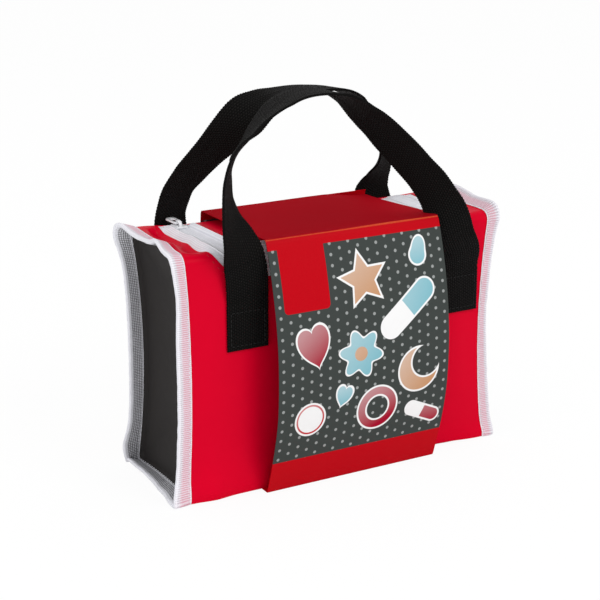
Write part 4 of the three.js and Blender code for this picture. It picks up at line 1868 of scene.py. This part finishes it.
@dataclass(frozen=True)
class HandlePlan:
    """What sets one handle apart from the other.

    The course runs from the left foot over the arch to the right foot. Each of its stops is x, y and
    z in millimetres, and the strap's twist in quarter turns. The dips are the slopes at which its
    outer edge hangs down over the arch, each with the x in millimetres that it is read at.
    """

    name: str
    face: int
    feet: dict[Side, Foot]
    course: tuple[tuple[float, float, float, float], ...]
    dips: tuple[Pair, ...]
    foot_blend: Pair
    split: float
    swing_blend: Pair


@dataclass
class Handle:
    """One webbing handle: a strap from foot to foot, in two feet and a grip."""

    form: CaseForm
    plan: HandlePlan
    webbing: Finish
    thread: Finish
    width: float = 29 * MM
    thickness: float = 1.6 * MM
    lift: float = 0.35 * MM
    row: float = 0.6 * MM
    columns: int = 14
    scallop: float = 0.28 * MM
    scallop_pitch: float = 1.7 * MM
    sway: float = 0.35 * MM
    edge_round: float = 0.45 * MM
    foot_stops: int = 8
    curve_steps: int = 24
    stitch: Triple = (2.4 * MM, 0.6 * MM, 0.5 * MM)
    stitch_pitch: float = 3.1 * MM
    stitch_depth: float = 0.05 * MM
    box_margin: float = 2.5 * MM
    box_foot: float = 3 * MM
    box_height: float = 22 * MM

    def foot(self, side: Side) -> list[tuple[float, float, float, float]]:
        """Lay one foot up the case's face.

        Args:
            side: which foot.

        Returns:
            Its stops, as x, y, z and twist, from the lowest up.
        """
        foot = self.plan.feet[side]
        face = self.plan.face
        turn = 0.0 if side is Side.LEFT else 2.0
        on_face = self.form.s_at_front if face < 0 else self.form.s_at_back
        off = self.form.front + self.lift + self.thickness / 2
        return [
            (foot.x, face * (off + self.form.puff(foot.x, on_face(z))), z, turn)
            for z in np.linspace(foot.low, foot.leaves, self.foot_stops)
        ]

    def samples(self) -> tuple[np.ndarray, np.ndarray]:
        """Return the strap's middle line at even steps, with the twist beside each point.

        Returns:
            The points with their twists, and their distances along the strap.
        """
        clear = [(x * MM, y * MM, z * MM, turn) for x, y, z, turn in self.plan.course]
        stops = np.array(self.foot(Side.LEFT) + clear + self.foot(Side.RIGHT)[::-1])
        chords = np.linalg.norm(np.diff(stops[:, :3], axis=0), axis=1)
        knots = np.concatenate(([0.0], np.cumsum(chords**0.5)))
        fine = [self.curve_piece(stops, knots, index) for index in range(len(stops) - 1)]
        points = np.concatenate(fine + [stops[-1:]])
        steps = np.linalg.norm(np.diff(points[:, :3], axis=0), axis=1)
        lengths = np.concatenate(([0.0], np.cumsum(steps)))
        count = round(lengths[-1] / self.row)
        even = np.linspace(0, lengths[-1], count + 1)
        return np.stack([np.interp(even, lengths, points[:, k]) for k in range(4)], axis=1), even

    def curve_piece(self, stops: np.ndarray, knots: np.ndarray, index: int) -> np.ndarray:
        """Draw the smooth curve from one stop to the next.

        Args:
            stops: the stops of the whole strap.
            knots: the curve's parameter at each stop.
            index: the stop that the piece starts from.

        Returns:
            Its points, without the last one.
        """
        before = max(0, index - 1)
        after = min(len(stops) - 1, index + 2)
        span = knots[index + 1] - knots[index]
        start, end = stops[index], stops[index + 1]
        slope_in = (end - stops[before]) / (knots[index + 1] - knots[before])
        slope_out = (stops[after] - start) / (knots[after] - knots[index])
        rows = []
        for t in np.linspace(0, 1, self.curve_steps, endpoint=False):
            lift = t * t * (3 - 2 * t)
            rows.append(
                start * (1 - lift) + end * lift
                + slope_in * span * t * (1 - t) ** 2
                - slope_out * span * t * t * (1 - t)
            )
        return np.array(rows)

    def build(self) -> list[Piece]:
        """Build and dress the handle's pieces.

        Returns:
            The pieces.
        """
        points, along = self.samples()
        high = np.flatnonzero(points[:, 2] > self.plan.split)
        first, last = int(high[0]), int(high[-1])
        cuts = {
            f"{self.plan.name}_strap_left": (0, first),
            f"{self.plan.name}_grip": (first, last),
            f"{self.plan.name}_strap_right": (last, len(points) - 1),
        }
        pieces = []
        for name, (start, end) in cuts.items():
            piece = self.strap(name, points, along, start, end)
            Bench.dress(piece, "black_webbing", self.webbing)
            if name.endswith("grip"):
                low, high_z = self.plan.swing_blend
                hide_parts(f"{self.plan.name}_loop")
                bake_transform(piece)
            else:
                side = Side.LEFT if name.endswith("left") else Side.RIGHT
                low, high_z = self.plan.foot_blend
                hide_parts(*(f"{self.plan.name}_{part}_{side.word}" for part in ("foot", "leg")))
                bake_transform(piece)
            pieces.append(piece)
        seam = self.stitches(points)
        Bench.dress(seam, "black_webbing", self.thread)
        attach(seam, "root")
        return pieces + [seam]

    def frames(self, points: np.ndarray) -> tuple[np.ndarray, np.ndarray, np.ndarray]:
        """Work out how the strap lies at each point.

        Args:
            points: the middle line with its twists.

        Returns:
            The directions along, across and out of the strap.
        """
        forward = np.gradient(points[:, :3], axis=0)
        forward /= np.linalg.norm(forward, axis=1)[:, None]
        angle = points[:, 3] * math.pi / 2
        inward = -self.plan.face
        places, slopes = zip(*self.plan.dips)
        dip = -np.interp(points[:, 0] / MM, places, slopes) * np.sin(angle)
        across = np.stack([np.cos(angle), inward * np.sin(angle), dip], axis=1)
        across -= forward * np.sum(across * forward, axis=1)[:, None]
        across /= np.linalg.norm(across, axis=1)[:, None]
        return forward, across, np.cross(forward, across)

    def strap(self, name: str, points: np.ndarray, along: np.ndarray, start: int, end: int) -> Piece:
        """Build one stretch of the strap.

        Args:
            name: the piece's name.
            points: the middle line with its twists.
            along: the distances along the strap.
            start: the first sample.
            end: the last sample.

        Returns:
            The piece, with its UV map running on from the stretch before.
        """
        _, across, out = self.frames(points)
        size = (self.width, along[end] - along[start])

        def place(u: float, v: float) -> Vector:
            """Return the point of the strap at a place on the flat strap."""
            row = start + round(v / size[1] * (end - start))
            share = u / self.width - 0.5
            scallop = self.scallop * math.cos(2 * math.pi * along[row] / self.scallop_pitch)
            wide = share * (self.width + 2 * scallop * abs(2 * share) ** 6)
            sway = self.sway * ripple(along[row], share, self.plan.face, 26)
            return Vector(points[row, :3] + across[row] * wide + out[row] * sway)

        piece = Bench.sheet(name, (self.columns, end - start), size, place)
        for loop in piece.data.uv_layers.active.data:
            loop.uv.y += along[start]
        Bench.thicken(piece, self.thickness)
        Bench.merge(piece, turn_out=True)
        rounding = {"width": self.edge_round, "segments": 2, "limit_method": "ANGLE"}
        Bench.apply(piece, "BEVEL", **rounding, angle_limit=math.radians(60))
        Bench.soften(piece, 50)
        return piece

    def stitches(self, points: np.ndarray) -> Piece:
        """Build the sewn boxes at the two feet.

        Args:
            points: the middle line with its twists.

        Returns:
            The stitches, as one piece.
        """
        places = []
        half = self.width / 2 - self.box_margin
        for index in (0, len(points) - 1):
            x, y, low = points[index, 0], points[index, 1], points[index, 2] + self.box_foot
            high = low + self.box_height
            depth = y + self.plan.face * (self.thickness / 2 - self.stitch_depth)
            corners = [(x - half, low), (x + half, low), (x + half, high), (x - half, high)]
            for number, corner in enumerate(corners):
                target = corners[(number + 1) % 4]
                span = math.dist(corner, target)
                tilt = math.atan2(target[1] - corner[1], target[0] - corner[0])
                count = round(span / self.stitch_pitch)
                for step in range(count):
                    share = (step + 0.5) / count
                    middle = Vector((
                        corner[0] + (target[0] - corner[0]) * share, depth,
                        corner[1] + (target[1] - corner[1]) * share,
                    ))
                    places.append(Matrix.Translation(middle) @ Matrix.Rotation(-tilt, 4, "Y"))
        return Bench.repeat(f"{self.plan.name}_strap_seams", Bench.bead(*self.stitch), places)


@dataclass
class Sleeve:
    """The printed card sleeve: front, bottom, back and top, with a crease between each two."""

    form: CaseForm
    card: float = 0.5 * MM
    crease: float = 1.0 * MM
    shift: float = 3.7 * MM
    bulges: dict[int, Triple] = field(
        default_factory=lambda: {-1: (11 * MM, 7 * MM, 14.5 * MM), 1: (6 * MM, 4 * MM, 3 * MM)}
    )
    foot_drift: float = 2 * MM
    drift_height: float = 60 * MM
    wall_wave: float = 0.5 * MM
    roof_wave: float = 0.3 * MM
    roof_tuck: float = 0.6
    droop: float = 3.5 * MM
    droop_from: float = 0.72

    def __post_init__(self) -> None:
        """Read the card's edges from the frame."""
        front_low, front_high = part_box("sleeve_front")
        self.left, self.right = front_low.x - self.shift, front_high.x - self.shift
        self.height = front_high.z
        self.width = self.right - self.left

    def build(self, prints: dict[str, Finish], inside: Finish) -> list[Piece]:
        """Build and dress the four cards.

        Args:
            prints: the printed finish of each card.
            inside: the unprinted finish.

        Returns:
            The cards.
        """
        cards = {
            "front": self.wall("front", -1),
            "back": self.wall("back", 1),
            "bottom": self.floor(),
            "top": self.roof(),
        }
        for name, piece in cards.items():
            Bench.thicken(piece, self.card, -1, lined=True)
            Bench.soften(piece, 30)
            Bench.dress(piece, "printed_card", prints[name], inside)
            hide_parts(f"sleeve_{name}")
            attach(piece, "sleeve_flap" if name == "top" else "root")
        return list(cards.values())

    def bulge(self, face: int, height: float) -> float:
        """Return how far from the case's middle a wall of the sleeve stands at a height."""
        share = height / self.height
        low_out, high_out, belly = self.bulges[face]
        return self.form.front + low_out + (high_out - low_out) * share + belly * 4 * share * (1 - share)

    def wall(self, name: str, face: int) -> Piece:
        """Build the front or the back card.

        Args:
            name: which card.
            face: -1 for the front and 1 for the back.

        Returns:
            The card.
        """
        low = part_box("sleeve_bottom")[1].z

        def place(across: float, up: float) -> Vector:
            """Return the point of the card at a place on the flat card."""
            height = low + (self.height - low) * up / self.height
            over = max(0.0, 1 - (self.height - up) / self.crease)
            tuck = self.crease * (1 - math.sqrt(max(0.0, 1 - over**2)))
            x = self.left + across if face < 0 else self.right - across
            if face < 0:
                x -= self.foot_drift * smooth(1 - height / self.drift_height)
            wave = self.wall_wave * ripple(x, height, face, 16)
            return Vector((x, face * (self.bulge(face, height) - tuck + wave), height))

        return Bench.sheet(f"sleeve_card_{name}", (52, 90), (self.width, self.height), place)

    def floor(self) -> Piece:
        """Build the bottom card.

        Returns:
            The card.
        """
        low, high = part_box("sleeve_bottom")
        size = (self.width, high.y - low.y)

        def place(across: float, along: float) -> Vector:
            """Return the point of the card at a place on the flat card."""
            drift = self.foot_drift * along / size[1]
            return Vector((self.left + across - drift, high.y - along, low.z))

        return Bench.sheet("sleeve_card_bottom", (26, 20), size, place)

    def roof(self) -> Piece:
        """Build the top card, which droops a little to its back right corner.

        Returns:
            The card.
        """
        front = -self.bulge(-1, self.height) + self.crease * self.roof_tuck
        back = self.bulge(1, self.height) - self.crease * self.roof_tuck
        size = (self.width, back - front)

        def place(across: float, along: float) -> Vector:
            """Return the point of the card at a place on the flat card."""
            x = self.left + across
            y = front + along
            right = smooth((across / self.width - self.droop_from) / (1 - self.droop_from))
            droop = self.droop * (right * smooth(along / size[1]))
            wave = self.roof_wave * ripple(x, y, 5, 18)
            return Vector((x, y, self.height - droop + wave))

        return Bench.sheet("sleeve_card_top", (52, 36), size, place)


@dataclass(frozen=True)
class Lamp:
    """A large soft lamp that faces the case, with its side in metres and its power in watts."""

    name: str
    place: Triple
    side: float
    power: float
    aim: Triple = (0, 0, 0.1)

    def hang(self) -> None:
        """Hang the lamp and turn it to the case."""
        bpy.ops.object.select_all(action="DESELECT")
        bpy.ops.object.light_add(type="AREA", location=self.place)
        lamp = bpy.context.active_object
        lamp.name = self.name
        lamp.data.size = self.side
        lamp.data.energy = self.power
        aim = Vector(self.aim) - Vector(self.place)
        lamp.rotation_euler = aim.to_track_quat("-Z", "Y").to_euler()


@dataclass
class Studio:
    """The pale floor, the plain light and the camera."""

    lamps: tuple[Lamp, ...] = (
        Lamp("key_lamp", (0.55, -1.7, 1.45), 1.0, 15.5),
        Lamp("top_lamp", (0.3, 0.2, 2.0), 1.8, 4.0),
        Lamp("side_lamp", (-1.8, -0.3, 0.7), 1.2, 8.0),
    )
    camera_place: Triple = (-0.5098, -0.8620, 0.4114)
    camera_turn: Triple = (73.147, 0.0, -30.10)
    lens: float = 92.92
    sensor: float = 36.0
    fill: float = 0.80
    floor_size: float = 8
    floor_drop: float = 0.2 * MM
    floor_white: float = 0.95
    glow_share: float = 0.93

    def build(self) -> None:
        """Build the floor, the world, the lamps and the camera."""
        self.floor()
        self.world()
        for lamp in self.lamps:
            lamp.hang()
        self.camera()

    def world(self) -> None:
        """Light the scene evenly, with a white backdrop where the camera or a reflection sees it."""
        recipe = Recipe("plain_studio", world=True)
        path = recipe.node("ShaderNodeLightPath")
        rays = [recipe.out(path, f"Is {kind} Ray") for kind in ("Camera", "Glossy", "Transmission")]
        seen = rays[0].most(rays[1]).most(rays[2])
        light = recipe.mix(seen, (self.fill, self.fill, self.fill), (1, 1, 1))
        backdrop = recipe.out(recipe.node("ShaderNodeBackground", sockets={0: light}))
        recipe.node("ShaderNodeOutputWorld", sockets={0: backdrop})
        bpy.context.scene.world = recipe.product

    def floor(self) -> None:
        """Lay a white floor that still takes a faint shadow."""
        bpy.ops.object.select_all(action="DESELECT")
        bpy.ops.mesh.primitive_plane_add(size=self.floor_size, location=(0, 0, -self.floor_drop))
        floor = bpy.context.active_object
        floor.name = "studio_floor"
        recipe = Recipe("white_floor")
        path = recipe.node("ShaderNodeLightPath")
        white = (self.floor_white, self.floor_white, self.floor_white, 1)
        shade = recipe.out(recipe.node("ShaderNodeBsdfDiffuse", sockets={0: white}))
        glow = recipe.out(recipe.node("ShaderNodeEmission", sockets={0: (1, 1, 1, 1), 1: 1.0}))
        share = recipe.out(path, "Is Camera Ray") * self.glow_share
        mixed = recipe.node("ShaderNodeMixShader", sockets={0: share, 1: shade, 2: glow})
        recipe.node("ShaderNodeOutputMaterial", sockets={0: recipe.out(mixed)})
        floor.data.materials.append(recipe.product)

    def camera(self) -> None:
        """Set the camera at the photograph's angle."""
        bpy.ops.object.camera_add(
            location=self.camera_place, rotation=[math.radians(angle) for angle in self.camera_turn]
        )
        camera = bpy.context.active_object
        camera.data.lens = self.lens
        camera.data.sensor_width = self.sensor
        bpy.context.scene.camera = camera


RED_COAT = CoatedFabric(
    name="red_coated", colour=(0.63, 0.0, 0.019), shade=(0.56, 0.0, 0.016),
    roughness=0.34, sheen_spread=0.14, specular=0.03, ripple_depth=0.6 * MM,
)
BLACK_COAT = CoatedFabric(
    name="black_coated", colour=(0.022, 0.0195, 0.019), shade=(0.016, 0.0145, 0.014),
    roughness=0.55, sheen_spread=0.1, specular=0.1, ripple_depth=0.4 * MM,
)
WHITE_THREAD = PlainFinish(
    name="white_thread", colour=(0.80, 0.80, 0.84), shade=(0.62, 0.62, 0.66), roughness=0.8
)
RED_THREAD = PlainFinish(
    name="red_thread", colour=(0.55, 0.0, 0.014), shade=(0.40, 0.0, 0.01), roughness=0.6
)
BLACK_THREAD = PlainFinish(
    name="black_thread", colour=(0.006, 0.006, 0.006), shade=(0.003, 0.003, 0.003), roughness=0.9
)
WHITE_LACQUER = PlainFinish(
    name="white_lacquer", colour=(0.86, 0.86, 0.88), shade=(0.74, 0.74, 0.77), roughness=0.28, metallic=0.1
)
NYLON_COIL = PlainFinish(
    name="nylon_coil", colour=(0.80, 0.80, 0.84), shade=(0.62, 0.62, 0.68), roughness=0.4
)

FRONT_PLAN = HandlePlan(
    name="front",
    face=-1,
    feet={
        Side.LEFT: Foot(-72 * MM, 97.5 * MM, 131 * MM),
        Side.RIGHT: Foot(91 * MM, 97 * MM, 129 * MM),
    },
    course=(
        (-73.5, -43.5, 142.5, 0), (-76, -45, 156.5, 0.03), (-80, -46.5, 167.5, 0.2),
        (-84, -47, 178, 0.36), (-86, -46, 187.5, 0.48), (-86.5, -44.5, 196.5, 0.56),
        (-85, -42, 205, 0.6), (-81.5, -39, 214.5, 0.66), (-75.5, -35.5, 222.5, 0.74),
        (-66, -31, 229, 0.82), (-53.5, -25.5, 238.2, 0.92), (-40, -21.5, 246.4, 0.98),
        (-26, -18.5, 251.3, 1), (-11, -17.5, 252.8, 1.02), (3, -17.5, 251.2, 1.03),
        (15, -18.5, 245.5, 1.04), (25, -21, 236.2, 1.09), (34.3, -24.5, 227.4, 1.15),
        (41.2, -28, 219.2, 1.21), (48.8, -32, 210.2, 1.24), (56, -36, 201, 1.26),
        (64, -40, 191, 1.31), (70.5, -44, 179.5, 1.35), (75, -47.6, 167.5, 1.58),
        (80.5, -48, 152, 1.8), (88.3, -44.2, 139.5, 1.88),
    ),
    dips=((-60, 0.3), (-38, 0.05), (0, 0.0), (16, 0.15), (30, 0.42), (50, 0.42), (70, 0.34)),
    foot_blend=(133 * MM, 145 * MM),
    split=155 * MM,
    swing_blend=(166 * MM, 182 * MM),
)
BACK_PLAN = HandlePlan(
    name="back",
    face=1,
    feet={
        Side.LEFT: Foot(-80 * MM, 95 * MM, 124 * MM),
        Side.RIGHT: Foot(91 * MM, 95 * MM, 124 * MM),
    },
    course=(
        (-81.5, 44, 138, 0), (-83, 47, 150, -0.08), (-82.5, 47.5, 157, -0.2),
        (-82.5, 47, 166.5, -0.24), (-80.5, 46, 175.5, -0.22), (-77, 44.5, 185, -0.18),
        (-70.5, 41.5, 194.5, -0.1), (-62, 37.5, 204.8, -0.05), (-53.5, 33, 214.8, 0.03),
        (-46, 29, 223.8, 0.14), (-38, 25, 232, 0.34), (-28.5, 21.5, 239.2, 0.62),
        (-18, 19, 245.3, 0.85), (-4.5, 17.5, 248.3, 0.98), (11, 17, 248.6, 1),
        (29, 17.5, 246.5, 1.02), (44, 20, 239.2, 1.1), (57, 24, 227.5, 1.2),
        (68, 29, 214, 1.3), (75.5, 34, 201, 1.44), (79, 38.5, 190.5, 1.6),
        (79, 43, 180.5, 1.76), (77.5, 47, 172, 1.88), (77, 48.5, 164, 1.96),
        (81, 47.5, 150, 2.02), (88, 44.2, 138, 2.02),
    ),
    dips=((-40, 0.2), (-20, 0.05), (40, -0.1), (60, 0.2)),
    foot_blend=(169 * MM, 178 * MM),
    split=179 * MM,
    swing_blend=(180.5 * MM, 188 * MM),
)

FRONT_FIGURES = (
    Figure(Motif.HEART, 27 * MM, 96 * MM, 12 * MM, 12, WINE_INK),
    Figure(Motif.STAR, 66 * MM, 136 * MM, 17 * MM, 8, TAN_INK),
    Figure(Motif.CAPSULE, 98 * MM, 113 * MM, 17 * MM, 38, TEAL_INK),
    Figure(Motif.FLOWER, 61 * MM, 88 * MM, 16 * MM, 20, TEAL_INK, TAN_INK),
    Figure(Motif.DROP, 109 * MM, 146 * MM, 8 * MM, -16, TEAL_INK),
    Figure(Motif.CRESCENT, 106 * MM, 70 * MM, 15 * MM, 25, TAN_INK),
    Figure(Motif.RING, 75 * MM, 48 * MM, 12 * MM, 0, WINE_INK),
    Figure(Motif.DISC, 24 * MM, 49 * MM, 10.3 * MM, 0, RED_INK),
    Figure(Motif.CAPSULE, 112 * MM, 38 * MM, 10 * MM, -24, WINE_INK),
    Figure(Motif.HEART, 48 * MM, 60 * MM, 6 * MM, -18, TEAL_INK),
)


def dress_boards(frame: dict, board: Finish) -> list[Piece]:
    """Give the frame's stiffening boards, which stay as they are, their finish, and return them."""
    boards = [frame["nodes"][f"{place}_board"] for place in ("front", "back", "bottom", "lid")]
    for node in boards:
        node.data.materials.clear()
        node.data.materials.append(board)
    return boards


def make_prints(height: float) -> dict[str, Finish]:
    """Make the printed finishes of the sleeve.

    Args:
        height: the height of its front and back cards.

    Returns:
        The finish of each card, by the card's place.
    """
    band_low, band_high = 21.5 * MM, 7 * MM
    tab_left, tab_right, tab_length = 6.5 * MM, 40 * MM, 40 * MM
    bands = (band_low, height - band_high)
    tab = (tab_left, tab_right, bands[1] - tab_length)
    return {
        "front": CardPrint("print_front", height, bands, FRONT_FIGURES, tab=tab, crease_highlight=1.0 * MM).make(),
        "back": CardPrint("print_back", height, bands).make(),
        "bottom": CardPrint("print_bottom", height, bands, dotted=False).make(),
        # The top card takes the darker red, which is painted shade on its upward face.
        "top": CardPrint(
            "print_top", height, bands, band_ink=SHADED_TOP_RED_INK, dotted=False, roughness=0.7, specular=0.005
        ).make(),
    }


def main() -> None:
    """Build the dressed case round the frame."""
    logging.basicConfig(level=logging.INFO, format="%(name)s: %(message)s")
    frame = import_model()
    bpy.context.scene.view_settings.view_transform = "Standard"
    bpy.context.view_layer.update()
    form = CaseForm()
    fabric_back = FabricBack().make()
    end_finishes = (BLACK_COAT.make(), fabric_back, BindingTape().make(), WHITE_THREAD.make())
    handle_finishes = (Webbing().make(), BLACK_THREAD.make())
    Studio().build()
    pieces = Wrap(form, RED_COAT.make(), fabric_back).build()
    zip_finishes = (ZipTape().make(), NYLON_COIL.make(), WHITE_LACQUER.make(), RED_THREAD.make())
    pieces += Zip(form, *zip_finishes).build()
    for side in Side:
        pieces += BoundEnd(form, side, *end_finishes).build()
    for plan in (FRONT_PLAN, BACK_PLAN):
        pieces += Handle(form, plan, *handle_finishes).build()
    sleeve = Sleeve(form)
    pieces += sleeve.build(make_prints(sleeve.height), CardBack().make())
    pieces += dress_boards(frame, GreyBoard().make())
    for piece in pieces:
        LOG.info("%s: %d faces", piece.name, len(piece.data.polygons))


if __name__ == "__main__":
    main()
